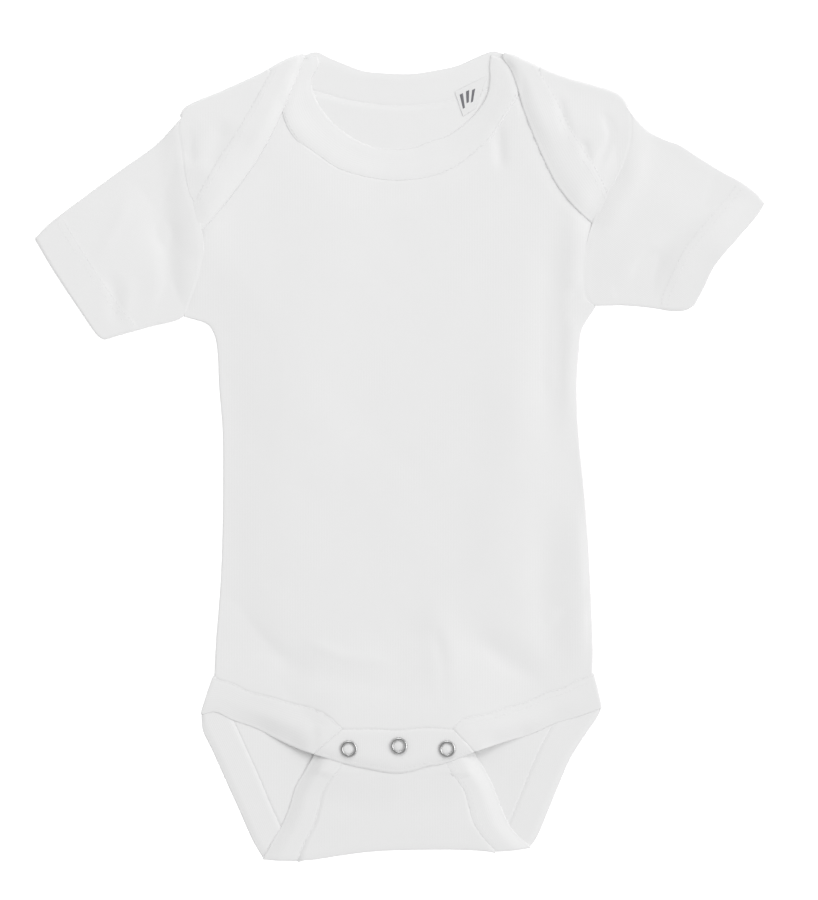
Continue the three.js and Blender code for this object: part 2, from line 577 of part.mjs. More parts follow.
// A flattened tube, open at the armhole and at the hemmed cuff.
function sleeve(side) {
  const isLeft = side === "left";
  const half = OUTLINE[side];
  const edgeTurn = (LEVEL.sleeve - LEVEL.back + KNIT) / 2;
  const top = sideways(run(half.sleeveTop, SLEEVE.along), isLeft ? edgeTurn : -edgeTurn);
  const under = sideways(run(half.sleeveUnder, SLEEVE.along), isLeft ? -edgeTurn : edgeTurn);
  const armhole = [top[0], ...armholes[side].slice(1, -1), under[0]];
  const cuff = run([top.at(-1), ...half.cuff.slice(1, -1).map(vector), under.at(-1)], SLEEVE.across);
  const upper = quilt(armhole, cuff, top, under, lifted(LEVEL.sleeve));
  const lower = quilt(armhole, cuff, top, under, flat(LEVEL.back));
  const hemmed = (p) => {
    const inHem = p.z > MIDWAY && away(p.x, p.y, half.cuff) < SLEEVE.hem;
    return inHem ? SLEEVE.hemWall : KNIT;
  };
  const rings = upper.map((row, i) => {
    const below = lower[i];
    const outerEnd = row[0].clone().sub(row[1]).setZ(0).normalize();
    const innerEnd = row.at(-1).clone().sub(row.at(-2)).setZ(0).normalize();
    const fold = (from, to, outward) => turn([from], [to], [outward]).map((r) => r[0]);
    const outer = fold(below[0], row[0], outerEnd);
    const inner = fold(below.at(-1), row.at(-1), innerEnd).reverse();
    return [...row, ...inner, ...[...below].reverse(), ...outer];
  });
  return new Cloth("sleeve_" + side, WHITE, hemmed).add(rings, true).mesh();
}

function sizeLabel() {
  const bottom = run(LABEL.bottom, LABEL.across);
  const top = run(LABEL.top, LABEL.across);
  const left = run([bottom[0], top[0]], LABEL.along);
  const right = run([bottom.at(-1), top.at(-1)], LABEL.along);
  return new Cloth("size_label", WHITE, KNIT).add(quilt(bottom, top, left, right, flat(LEVEL.label))).mesh();
}

// A turned metal part about its own axis, from a closed profile of [radius, height] rows.
function turned(name, profile, sides) {
  const rows = profile.map(([r, h]) => new THREE.Vector2(r, h));
  const geometry = new THREE.LatheGeometry([...rows, rows[0]], sides);
  geometry.rotateX(Math.PI / 2);
  const mesh = new THREE.Mesh(geometry, new THREE.MeshStandardMaterial(NICKEL));
  mesh.name = name;
  return mesh;
}

function snap({ name, x, y, tilt, bed }) {
  const bandMiddle = LEVEL.legStrip + lift(x, y);
  const studHeight = bandMiddle - STRIP / 2 - bed - 2 * SEAM;
  const { outer, inner, height } = RING;
  const crown = (outer + inner) / 2;
  const ring = turned("snap_ring_" + name, [
    [outer - 0.25, 0], [outer, 0.3], [outer - 0.15, height * 0.72], [crown, height],
    [inner + 0.12, height * 0.72], [inner, 0.3], [inner + 0.2, 0],
  ], RING.sides);
  const lean = Math.abs(outer * Math.sin(tilt));
  ring.position.set(x, y, bandMiddle + STRIP / 2 + SEAM + lean);
  ring.rotation.x = tilt;
  const stud = turned("snap_stud_" + name, [
    [STUD.hole, 0], [STUD.outer, 0], [STUD.outer, STUD.flange], [STUD.rim, studHeight],
    [STUD.hole, studHeight],
  ], STUD.sides);
  stud.position.set(x, y, bed + SEAM);
  return [ring, stud];
}

const bodysuit = new THREE.Group();
bodysuit.add(frontPanel(), backPanel(), frontNeckBand(), backNeckBand(), snapBand(), sizeLabel());
for (const side of ["left", "right"]) {
  bodysuit.add(sleeve(side), legBand(side));
}
SNAPS.forEach((row) => bodysuit.add(...snap(row)));

export default bodysuit;
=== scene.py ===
"""The looks of a baby's short sleeved bodysuit in white cotton knit, laid flat on its back.

Listed lines are in millimetres, as seen from above: X across the garment, Y up from the crotch
to the neck, Z up from the floor. Left and right are as seen from above. Meshes are in metres.
"""

import math

import bpy
import numpy as np
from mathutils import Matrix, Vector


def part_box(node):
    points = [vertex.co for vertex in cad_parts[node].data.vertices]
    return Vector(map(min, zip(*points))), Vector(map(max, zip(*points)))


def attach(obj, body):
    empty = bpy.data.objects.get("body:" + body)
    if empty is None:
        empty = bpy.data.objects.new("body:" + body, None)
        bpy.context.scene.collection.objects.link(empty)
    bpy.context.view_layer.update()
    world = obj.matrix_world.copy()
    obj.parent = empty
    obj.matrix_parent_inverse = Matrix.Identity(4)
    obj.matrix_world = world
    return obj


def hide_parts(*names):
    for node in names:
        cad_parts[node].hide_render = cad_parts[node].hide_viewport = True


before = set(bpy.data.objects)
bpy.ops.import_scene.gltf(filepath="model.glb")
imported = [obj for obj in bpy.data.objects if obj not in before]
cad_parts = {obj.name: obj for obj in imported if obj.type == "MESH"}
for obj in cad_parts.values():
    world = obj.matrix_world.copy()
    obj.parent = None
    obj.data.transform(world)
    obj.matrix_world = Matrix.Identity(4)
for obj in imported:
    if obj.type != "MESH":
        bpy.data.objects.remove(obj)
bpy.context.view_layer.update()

bl_info = {
    "name": "Baby bodysuit",
    "version": (1, 0, 0),
    "blender": (4, 5, 0),
    "location": "View3D > Sidebar > Bodysuit",
    "description": "Builds a baby bodysuit in cotton knit, laid flat, with its stage",
    "category": "Object",
}

MM = 0.001
BODY = "root"

# Walls, in mm
KNIT = 0.7
STRIP = 1.1  # a binding, along its middle
SEWN = 0.45  # a binding at its sewn edge
FREE = 0.6  # a binding at its folded edge
SEAM_WALLS = (0.3, 0.5)  # a panel at a sewn armhole: its edge and its next station
TAPE = 0.3
TUCK = 1.5  # how far a panel's raw edge runs inside its binding
LAP = 0.6  # how far the two sides of a sewn armhole lie over each other
SHOULDER_LAP = 0.9  # and how much further at the shoulder
ARMHOLE_BORDER = 2.1  # how far from an armhole its sharp border reaches

# Height of the middle of each layer above the floor
LEVEL = {"back": KNIT / 2, "front": 1.6, "flap": 2.75, "tongue": 2.4, "sleeve": 1.6, "label": 0.95}
SEWN_STEP = 0.03  # from a panel's middle up to its binding's, at their seam
CLIMB = {"strip": 170, "flap": 168, "over": 18}  # where the neck's layers climb over each other, in Y
NECK_STRIP_RISE = 0.4
FLAP_RISE = 0.8
SLEEVE_RISE = 1.15  # the sleeve climbs to the flap that it is sewn to
SLEEVE_RAMP = 16
SNAP_RISE = 4.3  # the closed snaps hold the front up, and it slopes down from them
SNAP_RAMP = 55
TONGUE_RISE = 1.9  # the tongue is drawn up to the band by the snaps
TONGUE_RAMP = 26
FLAP_PRESS = 0.5  # how far a flap's free edge presses the front down
FLAP_PRESS_WIDTH = 2.0
TIP_SINK = 0.6  # how much closer a flap lies to the front at its outer end
TIP_REACH = 20
TIP_EASE = 0.6  # how much of its height over the front a flap's free edge gives up there
LOFT = 1.5  # air between the layers, from this far inside a closed edge
LOFT_REACH = 38
LEG_LINE = -150  # the loft and the folds begin here, in Y, and are whole this much further up
LEG_FADE = 50
SIDE_BEND = 0.625  # radius of the fold at a side of the body
SIDE_INSET = SIDE_BEND + KNIT / 2
PRESS = 0.15  # how far a binding's free edge presses into the cloth that it rests on
ON_BACK = KNIT + FREE / 2 - PRESS  # height of a binding's free edge that rests on the back
ON_STRIP = STRIP + FREE / 2 - PRESS  # and of one that rests on a binding that lies on the floor
NECK_WIDTH = 19.4
NECK_ONTO = 0.2  # share of the neck binding's width in which a flap's edge climbs onto it
BAND_STEP = 0.15  # how far the snap band stands above the front panel
BAND_GROOVE = 0.35  # and the depth and reach of the groove where it is sewn on
BAND_GROOVE_REACH = 1.5
BAND_SINK = 6.5  # the part of the band's width that sinks to its lower edge
ON_TONGUE = (KNIT + FREE) / 2 + 0.1  # from the tongue's middle up to what rests on it
BACK_NECK_WALL = 0.67  # share of its wall that the back neck's binding keeps, pressed on the floor
BACK_NECK_EASE = 8  # stations in which that begins, from each shoulder fold
STRIP_END_WALLS = (0.45, 0.6, 0.75, 0.9)  # shares of its wall at a binding's last stations
RIM = 0.8  # how far a cloth's cut edge bulges, as a share of half its wall

# Where a layer climbs onto, or leaves, what lies under it: where that begins, and in how many mm
NECK_CLIMB = (186, 14)  # in Y, the front's neck binding onto the back's
NECK_PRESSED = (210, 10)  # in Y, that binding under the shoulder flap
CROTCH_CLIMB = (205, 12)  # in -Y, the tongue's bindings onto the back's at the fold
HIP_CLIMB = (88, 14)  # from the middle line, a leg's front binding onto the back's at the hip
TONGUE_CLIMB = (59, 13)  # from the tongue's middle line inwards, the same binding onto the tongue
SHOULDER_CLIMB = (160, 20)  # in Y, where the two sides of an armhole begin to lap further

# Soft forms, in mm
TONGUE_MIDDLE = -3
TONGUE_SWELL = {"centre": (-4, -204), "reach": (34, 13), "height": 0.5}
TONGUE_RIPPLE = 0.6
RIPPLE = {"long": 0.10, "short": 0.035}
SNAP_DIP = {"depth": 0.2, "reach": 6.5}  # round each snap
SNAP_PLUG = {"height": 0.5, "reach": 2.3}  # the cloth that comes up through its ring
PUCKER = {"height": 0.04, "pitch": 6.3, "centre": 2.0, "reach": 3.0}  # along a binding's sewn edge

# How much of a binding's width sinks down to its free edge
SINK = {"neck": 0.8, "flap": 0.4, "leg": 0.5, "tongue": 0.5}
MOST_SUNK = 2.6  # a free edge by the snaps hangs no further below its strip than this

# Stations: this many for each coarse step of a seam
FINE = 6
TURN = 8
ACROSS = 14
HIDDEN = {"left": 12, "right": 6}  # stations at the neck seam's ends that the front doesn't reach
COUNT = {"shoulder": 1, "neck": 24, "leg": 8, "band": 10, "side": 18}
UNDER = {"shoulder": 6, "neck": 8, "leg": 7, "crotch": 6, "side": 11, "flap": 8, "tongue": 7}
SLEEVE = {"across": 8, "along": 10, "hem": 20, "hem_wall": 1.0, "hem_step": 1.5}
SLEEVE_GRAIN = {"left": -62, "right": 52}  # how the knit of each sleeve is turned, in degrees
SIDE_FADE = 3  # how quickly the bends of a quilt's sides fade inwards
END_FADE = 2  # the same for the bends of its first and last rows

# Edges seen from above
OUTLINE = {
    "left": {
        "shoulder": [(-124, 189), (-120.6, 195), (-98.6, 205), (-77.8, 214.5), (-73.5, 216.9)],
        "bump": [(-74, 216.6), (-68.9, 220.1), (-62, 223.6), (-54, 225.6)],
        "sleeve_top": [(-122.9, 188.7), (-137.2, 174.2), (-155.7, 160.7), (-175.3, 146.2),
                       (-196.6, 129.9), (-204.6, 121.8)],
        "cuff": [(-204.6, 121.8), (-194.3, 105), (-179.6, 82.8), (-168.6, 67.2), (-165.4, 64.6)],
        "sleeve_under": [(-120.2, 78.2), (-123.5, 76), (-139.4, 72.2), (-155.7, 67.6), (-165.4, 64.6)],
        "armhole": [(-123.6, 187.6), (-121.5, 171.4), (-119.3, 154.6), (-114.8, 140.6), (-111.4, 129.4),
                    (-109.8, 116.5), (-112, 101.4), (-117, 87.4), (-119.8, 78.6)],
        "side": [(-105.4, -122.8), (-103, -103), (-101.6, -86), (-100.2, -65), (-99.4, -40),
                 (-99.1, -5), (-99.4, 15), (-101.4, 40), (-102.2, 58), (-103.6, 66.5), (-107.2, 73.2),
                 (-113.1, 77.3), (-119.2, 79)],
    },
    "right": {
        "shoulder": [(129, 194.6), (123.4, 202.2), (108.6, 207.8), (94.6, 211.7), (81.2, 216.7),
                     (78.5, 218)],
        "bump": [(79, 217.7), (72.8, 220.9), (66.5, 224.2), (58.5, 226.2)],
        "sleeve_top": [(128, 194.6), (133.3, 187.6), (139.4, 182), (149, 177), (156.8, 174.2),
                       (166.3, 168), (179.8, 159.6), (192.1, 152.9), (199.4, 147.3), (204.4, 141.7)],
        "cuff": [(204.4, 141.7), (199.4, 134.4), (189.3, 122.6), (180.9, 113.1), (174.7, 104.7),
                 (169.7, 94.1), (165.2, 84)],
        "sleeve_under": [(109, 83.4), (124.9, 84), (139.4, 82.9), (152.9, 80.9), (160.4, 81.4),
                         (165.2, 84)],
        "armhole": [(128.6, 193.2), (128.2, 175.3), (123.8, 161.3), (117.6, 151.2), (111.4, 139.4),
                    (107.5, 129.4), (104.2, 118.2), (102.5, 107), (102.5, 95.8), (104.7, 87.4),
                    (108.4, 83.4)],
        "side": [(109.4, -121.2), (108.2, -110), (107.5, -90), (106.6, -68), (105.3, -45), (103, -16),
                 (101, 3), (99.4, 25), (99.3, 45), (100.5, 60), (101.9, 70.6), (104.2, 76.2),
                 (107.9, 83)],
    },
}
NECK = {
    "front_seam": [(-65.5, 218.5), (-64.5, 213), (-66.8, 204), (-65.5, 191), (-59.4, 178.1),
                   (-44.8, 166.3), (-35.3, 160), (-18.5, 155), (0, 153), (20.7, 156.2), (32.5, 161.8),
                   (42, 169.1), (49.8, 176.4), (57.5, 188), (64.8, 199.5), (69.5, 209), (71, 217)],
    "front_edge": [(-46.5, 223.6), (-45.6, 219), (-49.6, 211), (-47.6, 200.5), (-42, 191),
                   (-33.6, 182.6), (-24.1, 176.4), (-12.9, 172.2), (-1.1, 171.4), (8.4, 172.5),
                   (16.8, 175.8), (26.9, 179.2), (36.4, 185.9), (44.2, 193.8), (49.3, 202.7),
                   (50.6, 212), (50.2, 219), (51, 224)],
    "back_edge": [(-46.5, 226.1), (-40, 223.1), (-31.9, 219.8), (-20.7, 215.6), (-11.2, 214.5),
                  (-1.1, 213.9), (8.4, 214.1), (21.8, 216.2), (32.5, 218.6), (40.5, 222.2),
                  (46, 224.6), (52.5, 226.6)],
    "back_seam": [(-62, 207.5), (-45, 202), (-25, 197), (0, 194.6), (25, 197), (45, 202.5), (65, 209)],
}
FLAP = {
    "left": {
        "edge": [(-53.5, 223), (-57, 215), (-59.9, 207.2), (-68.3, 187.6), (-76.2, 171.9),
                 (-85.7, 157.4), (-102.5, 135.5), (-111.6, 125)],
        "seam": [(-84, 195.4), (-93, 180.3), (-100.8, 169.1), (-108.6, 155.1), (-115.8, 142)],
        "end": (-117.8, 147.4),
    },
    "right": {
        "edge": [(57.5, 222.8), (61.6, 217.3), (65.5, 207.2), (68.9, 194.9), (73.9, 181.4),
                 (80.6, 165.8), (86.8, 153.4), (91.8, 146.2), (98, 138.9), (108.6, 129.4)],
        "seam": [(89.6, 197.7), (98, 180.9), (106.4, 168.6), (113.8, 155.6), (116.8, 147.4)],
        "end": (120.1, 153.6),
    },
}
SHOULDER_LINE = {"left": [(-104, 192), (-84, 202)], "right": [(84, 207), (107, 197)]}
LEG = {
    "left": {
        "front_edge": [(-48.2, -166.3), (-58.2, -163), (-69.4, -157.9), (-80.6, -152.3),
                       (-94.6, -147.3), (-103.6, -143.2), (-111, -144.4)],
        "front_seam": [(-31.4, -151.8), (-39.2, -144.5), (-48.7, -140), (-58.2, -137.8),
                       (-72.2, -133.8), (-85.1, -130.5), (-92.4, -126.8), (-103.8, -123.3)],
        "back_edge": [(-111, -146), (-110.2, -153.4), (-104.9, -164.6), (-97.4, -181.4),
                      (-89.8, -198.2), (-82.3, -215), (-76.4, -225.2)],
        "back_seam": [(-103.8, -123.3), (-97, -139), (-90.7, -151.2), (-84.5, -165), (-78, -179.5),
                      (-71.5, -195), (-64, -211), (-56, -225.2)],
        "tongue_edge": [(-76.4, -225.2), (-72, -217), (-66.6, -207.8), (-62.2, -197.7),
                        (-58.2, -184.8), (-52.6, -175.3), (-47.6, -166.5), (-43.5, -155)],
        "tongue_seam": [(-56, -225.2), (-52, -215.4), (-47, -206.1), (-44.2, -196), (-42, -187.6),
                        (-36.4, -179.2), (-30.8, -171.9), (-25.5, -163), (-23.5, -155)],
    },
    "right": {
        "front_edge": [(41.4, -165.2), (59.4, -159.6), (74.5, -155.1), (85.7, -150.1), (101.9, -145),
                       (112.5, -141)],
        "front_seam": [(28.6, -151.8), (33, -146.7), (49.8, -142.8), (58.2, -140), (71.7, -136.1),
                       (80.6, -131.6), (90.2, -129), (97.4, -125), (107.8, -121.8)],
        "back_edge": [(112.6, -142.2), (109.7, -147.2), (101.7, -158.8), (94.9, -170), (88.4, -185),
                      (82.5, -199.4), (76.7, -213), (72.8, -218.8)],
        "back_seam": [(107.8, -121.8), (98, -135), (87, -146.5), (80, -158), (73.5, -172),
                      (67.5, -187), (60, -205), (52, -220.3)],
        "tongue_edge": [(72.8, -218.8), (65, -212), (59.4, -203.5), (55.4, -194), (52.1, -185.4),
                        (46.5, -174.2), (40.9, -165.2), (36.5, -155)],
        "tongue_seam": [(52, -220.3), (45.6, -213.4), (39.8, -204.4), (37.6, -196), (35.3, -187.6),
                        (30.8, -180.9), (25.8, -173.6), (22, -164), (20.5, -155)],
    },
}
CROTCH = [(-56, -225.2), (-46, -224.4), (-33.8, -222.4), (-15.7, -220.1), (5.6, -219.2),
          (37, -219.2), (52, -220.3)]
SNAP_BAND = {
    "top": [(-31.4, -151.8), (-15.7, -151.6), (0, -152.2), (14, -150.8), (28.6, -151.8)],
    "bottom": [(-48.2, -166.3), (-30.2, -171.9), (-16.8, -174.9), (-2.2, -177), (6.7, -175.8),
               (14, -173.6), (25.2, -171.4), (41.4, -165.2)],
}
BAND_MIDST = (-46, -178, 40, -151)  # inside it, lowest and highest X and Y
SNAPS = {"left": (-28.6, -163.5), "middle": (-0.6, -161.8), "right": (26.3, -163.5)}
RING = {"outer": 4.75, "inner": 2.95, "height": 1.0, "foot": 0.25, "tilt": -0.07}
LABEL = {"bottom": [(35.3, 190.4), (42.2, 194.6)], "top": [(30.8, 203.8), (48.8, 212.8)]}
LABEL_STATIONS = (18, 16)
LABEL_BARS = ((0.16, 0.25, 0.8), (0.38, 0.4, 0.8), (0.62, 0.3, 0.75))  # place across, foot and head
BAR_WALL = 0.06

# Folds of the upper layers: half width, height of the crest and the line that it follows
FOLDS = [
    (11, -1.3, [(-136, 176), (-135, 150), (-132, 126)]),
    (11, 0.8, [(-104, 166), (-107, 146), (-108, 124)]),
    (7, -1.2, [(126, 174), (120, 158), (112, 145), (106, 132)]),
    (7, -1.2, [(184, 149), (162, 130), (149, 118), (137, 104)]),
    (20, 0.6, [(-40, 130), (-50, 70), (-46, 0)]),
    (14, -0.9, [(-92, -98), (-66, -116)]),
    (11, -0.9, [(46, -106), (74, -122)]),
    (9, -0.9, [(-55, -122), (-20, -132), (10, -130)]),
]
FOLD_CLEAR = 5  # folds and creases fade this close to a closed edge
END_CLEAR = 3  # a flap's outer edge has no station of the armhole this close to its ends

# Creases that fade out at both ends: half width, height of the crest and line
CREASES = [
    (5.5, 1.0, [(105, 160), (98.5, 118), (97, 95), (96.5, 70), (95.5, 48), (94, 0)]),
    (8, -0.9, [(92, 160), (84, 110), (84, 75), (83, 50), (84, -10)]),
    (9, 1.0, [(98, -14), (101, -60), (101, -90), (97, -130)]),
    (10, -1.1, [(84, -16), (80, -66), (82, -98), (94, -130)]),
    (14, 0.6, [(64, 90), (62, 0), (54, -40), (48, -100)]),
    (9, 0.8, [(18, -70), (24, -112), (26, -150)]),
    (6, -1.0, [(-134, 140), (-129, 104), (-130, 70)]),
    (7, 0.5, [(-116, 130), (-117, 112), (-118, 80)]),
    (7, 0.7, [(137, 178), (130, 152), (122, 138), (112, 118)]),
    (8, 0.9, [(200, 150), (173, 127), (158, 110), (151, 86)]),
    (3.0, -0.8, [(88, 203), (91, 190), (96, 176)]),
    (2.6, -0.8, [(112, 195), (118, 180), (113, 168), (107, 157)]),
    (2.8, -0.7, [(102, 178), (104, 170), (105, 162)]),
    (3.6, -0.9, [(55, 188), (55.5, 176), (57, 158)]),
    (6.0, -0.9, [(-98, 190), (-103, 172), (-108, 156)]),
    (4.0, -0.6, [(-121, 184), (-118, 172), (-116, 160)]),
    (5.0, -0.6, [(-98, -92), (-72, -108), (-56, -122)]),
    (6.0, -0.6, [(-56, -118), (-18, -128), (20, -140)]),
    (4.0, -0.6, [(18, -92), (24, -118), (23, -145)]),
    (5.0, -0.6, [(43, -100), (60, -116), (82, -126)]),
    (4.0, -0.6, [(112, -72), (96, -84), (78, -96)]),
    (3.0, 0.4, [(-60, -100), (-30, -112), (6, -116)]),
    (5.0, -0.7, [(144, 118), (137, 102), (137, 86)]),
    (3.0, -0.5, [(134, 100), (126, 94), (118, 90)]),
    (4.0, -0.5, [(-164, 106), (-160, 92), (-160, 72)]),
    (4.0, 0.3, [(-150, 104), (-152, 90), (-154, 72)]),
    (4.0, 0.4, [(-150, 146), (-160, 126), (-172, 108)]),
    (3.0, -0.7, [(99, 98), (98, 84), (97, 70)]),
]


def ease(t):
    s = np.clip(t, 0.0, 1.0)
    return s * s * (3 - 2 * s)


def hump(far, reach, power=2):
    """A soft hump, 1 at its middle."""
    return np.exp(-(far / reach) ** power)


def spots(rows):
    """Rows of two or three numbers as an array of x, y, z."""
    return np.array([tuple(row) + (0.0,) * (3 - len(row)) for row in rows], float)


def rounded(knots, fine=24):
    """A centripetal spline through knots, as many short chords."""
    ends = np.vstack([2 * knots[0] - knots[1], knots, 2 * knots[-1] - knots[-2]])
    t = np.linspace(0, 1, fine, endpoint=False)[:, None]
    parts = []
    for k in range(len(knots) - 1):
        a, b, c, d = ends[k:k + 4]
        before, here, after = (max(np.linalg.norm(q - p), 1e-6) ** 0.5 for p, q in ((a, b), (b, c), (c, d)))
        leave = ((b - a) / before - (c - a) / (before + here)) * here + (c - b)
        arrive = ((d - c) / after - (d - b) / (here + after)) * here + (c - b)
        bend = 3 * (c - b) - 2 * leave - arrive
        parts.append(b + leave * t + bend * t**2 + (leave + arrive - 2 * (c - b)) * t**3)
    return np.vstack(parts + [knots[-1:]])


def stations(points, shares):
    """Stations at these shares of a smooth line through points, straight where there are only two."""
    knots = spots(points)
    if len(knots) > 2:
        knots = rounded(knots)
    reach = np.concatenate([[0], np.cumsum(np.linalg.norm(np.diff(knots, axis=0), axis=1))])
    return np.column_stack([np.interp(shares * reach[-1], reach, knots[:, k]) for k in range(3)])


def run(points, steps):
    """Evenly spaced stations."""
    return stations(points, np.linspace(0, 1, steps + 1))


def chain(*runs):
    """Runs laid end to end, each sharing its first station with the end of the one before."""
    return np.vstack([runs[0]] + [part[1:] for part in runs[1:]])


def headings(line):
    ahead = np.vstack([line[1:], line[-1:]]) - np.vstack([line[:1], line[:-1]])
    ahead[:, 2] = 0
    return ahead / np.linalg.norm(ahead, axis=1)[:, None]


def square_to(line, side):
    """Unit directions square to a line in plan, on its left for side 1."""
    along = headings(line)
    return side * np.column_stack([-along[:, 1], along[:, 0], np.zeros(len(line))])


def sideways(line, distance):
    return line + square_to(line, 1) * np.reshape(distance, (-1, 1))


def nearest(x, y, path):
    """Distance in plan to a path, and how far along the path that is, from 0 to 1."""
    path = np.asarray(path, float)
    x, y = np.asarray(x, float), np.asarray(y, float)
    best = np.full(x.shape, np.inf)
    along = np.zeros(x.shape)
    lengths = np.hypot(*np.diff(path, axis=0).T)
    starts = np.concatenate([[0], np.cumsum(lengths)])
    for k, length in enumerate(lengths):
        (ax, ay), (dx, dy) = path[k], path[k + 1] - path[k]
        t = np.clip(((x - ax) * dx + (y - ay) * dy) / max(length**2, 1e-9), 0, 1)
        far = np.hypot(x - ax - t * dx, y - ay - t * dy)
        nearer = far < best
        best = np.where(nearer, far, best)
        along = np.where(nearer, starts[k] + t * length, along)
    return best, along / starts[-1]


CLOSED_EDGES = [NECK["front_edge"]]
for half in OUTLINE.values():
    CLOSED_EDGES.append(half["sleeve_top"][::-1] + half["shoulder"] + half["bump"])
    CLOSED_EDGES.append(half["side"] + half["sleeve_under"])
FLAP_EDGES = [run(flap["edge"], 40)[:, :2] for flap in FLAP.values()]
SMOOTH_FOLDS = [(width, height, run(path, 30)[:, :2]) for width, height, path in FOLDS]
SMOOTH_CREASES = [(width, height, run(path, 24)[:, :2]) for width, height, path in CREASES]


def ripple(x, y):
    """The slack of the knit: low swells of uneven length."""
    long_swell = np.sin(x / 11.3 + 1.7 * np.sin(y / 37.1)) * np.sin(y / 17.9 + 1.1 * np.sin(x / 29.3))
    short_swell = np.sin(x / 5.3 + 1.9 * np.sin(y / 14.7) + 0.4) * np.sin(y / 7.1 + 1.3 * np.sin(x / 12.9))
    return RIPPLE["long"] * long_swell + RIPPLE["short"] * short_swell


def from_band(x, y):
    """Distance in plan to the snap band, nought on it."""
    low_x, low_y, high_x, high_y = BAND_MIDST
    inside = (x > low_x) & (y > low_y) & (x < high_x) & (y < high_y)
    return np.where(inside, 0, nearest(x, y, SNAP_BAND["top"] + SNAP_BAND["bottom"][::-1])[0])


def lift(x, y):
    """How far the upper layers stand above their level: the air between layers, folds and creases."""
    clear = np.min([nearest(x, y, edge)[0] for edge in CLOSED_EDGES], axis=0)
    folds = np.zeros(np.shape(x))
    for width, height, path in SMOOTH_FOLDS:
        folds = folds + height * hump(nearest(x, y, path)[0], width)
    for width, height, path in SMOOTH_CREASES:
        far, along = nearest(x, y, path)
        fade = ease(np.minimum(along, 1 - along) * 3)
        folds = folds + height * fade * hump(far, width)
    folds = (folds + ripple(x, y)) * ease(clear / FOLD_CLEAR)
    body = np.maximum(0, LOFT * ease(clear / LOFT_REACH) + folds) * ease((y - LEG_LINE) / LEG_FADE)
    return body + SNAP_RISE * ease(1 - from_band(x, y) / SNAP_RAMP)


def climb(y, start):
    return ease((y - start) / CLIMB["over"])


def onto(place, where):
    """From 0 to 1 where a layer climbs: where it begins, and in how many mm."""
    start, reach = where
    return ease((place - start) / reach)


def flat(level):
    return lambda x, y: np.full(np.shape(x), level)


def pressed(x, y):
    """How far the cloth is pressed down along the free edges of the shoulder flaps that lie on it."""
    far = np.min([nearest(x, y, edge)[0] for edge in FLAP_EDGES], axis=0)
    return FLAP_PRESS * hump(far, FLAP_PRESS_WIDTH)


def lifted(level):
    return lambda x, y: level + lift(x, y)


def sunk(share, part, height, rest):
    """A binding's height at a share of its width, where its last part sinks to its rest."""
    down = ease((share - 1 + part) / part)
    return height * (1 - down) + rest * down


def at_tip(x, y):
    """How near a place is to the outer end of a flap, from 0 to 1."""
    tips = [[flap["end"], flap["edge"][-1]] for flap in FLAP.values()]
    return ease(1 - np.min([nearest(x, y, tip)[0] for tip in tips], axis=0) / TIP_REACH)


def front_level(x, y):
    return LEVEL["front"] + lift(x, y) - pressed(x, y)


def neck_level(x, y):
    return front_level(x, y) + SEWN_STEP + NECK_STRIP_RISE * climb(y, CLIMB["strip"])


def neck_rest(x, y):
    """The front's neck binding rests on the back, higher up on the back's binding, then pressed down."""
    return ON_BACK + (ON_STRIP - ON_BACK) * onto(y, NECK_CLIMB) - PRESS * onto(y, NECK_PRESSED)


def flap_level(x, y):
    return LEVEL["flap"] + FLAP_RISE * climb(y, CLIMB["flap"]) - TIP_SINK * at_tip(x, y) + lift(x, y)


def flap_strip_level(x, y):
    return flap_level(x, y) + SEWN_STEP


def flap_strip_rest(x, y):
    """A flap's binding rests on the front, and higher up on the front's neck binding."""
    share = np.clip(1 - nearest(x, y, NECK_EDGE[::FINE, :2])[0] / NECK_WIDTH, 0, 1)
    over = (KNIT + FREE) / 2 * (1 - TIP_EASE * at_tip(x, y))
    on_front = LEVEL["front"] + lift(x, y) - FLAP_PRESS / 2 + over
    on_neck = sunk(share, SINK["neck"], neck_level(x, y), neck_rest(x, y)) + (STRIP + FREE) / 2
    up = ease(share / NECK_ONTO)
    return on_front * (1 - up) + on_neck * up


def tongue_level(x, y):
    """The tongue lies loosely on the back, fuller towards its fold, and drawn up under the snaps."""
    (across, up), (wide, long) = TONGUE_SWELL["centre"], TONGUE_SWELL["reach"]
    swell = TONGUE_SWELL["height"] * hump(x - across, wide) * hump(y - up, long)
    drawn = ease(1 - from_band(x, y) / TONGUE_RAMP)
    return LEVEL["tongue"] + TONGUE_RISE * drawn + swell + TONGUE_RIPPLE * ripple(x + 40, y)


def tongue_strip_level(x, y):
    return tongue_level(x, y) + SEWN_STEP


def tongue_strip_rest(x, y):
    """The tongue's bindings rest on the back, on its bindings at the fold, and hang under the snaps."""
    low = ON_BACK + (ON_STRIP - ON_BACK) * onto(-y, CROTCH_CLIMB)
    return np.maximum(low, tongue_strip_level(x, y) - MOST_SUNK)


def leg_strip_rest(x, y):
    """A leg's front binding rests on the back, at the hip on its binding, by the snaps on the tongue."""
    start, reach = TONGUE_CLIMB
    at_tongue = ease((start - abs(x - TONGUE_MIDDLE)) / reach)
    low = ON_BACK + (ON_STRIP - ON_BACK) * onto(abs(x), HIP_CLIMB)
    low = np.maximum(low, LEVEL["front"] + lift(x, y) - MOST_SUNK)
    return low * (1 - at_tongue) + (tongue_level(x, y) + ON_TONGUE) * at_tongue


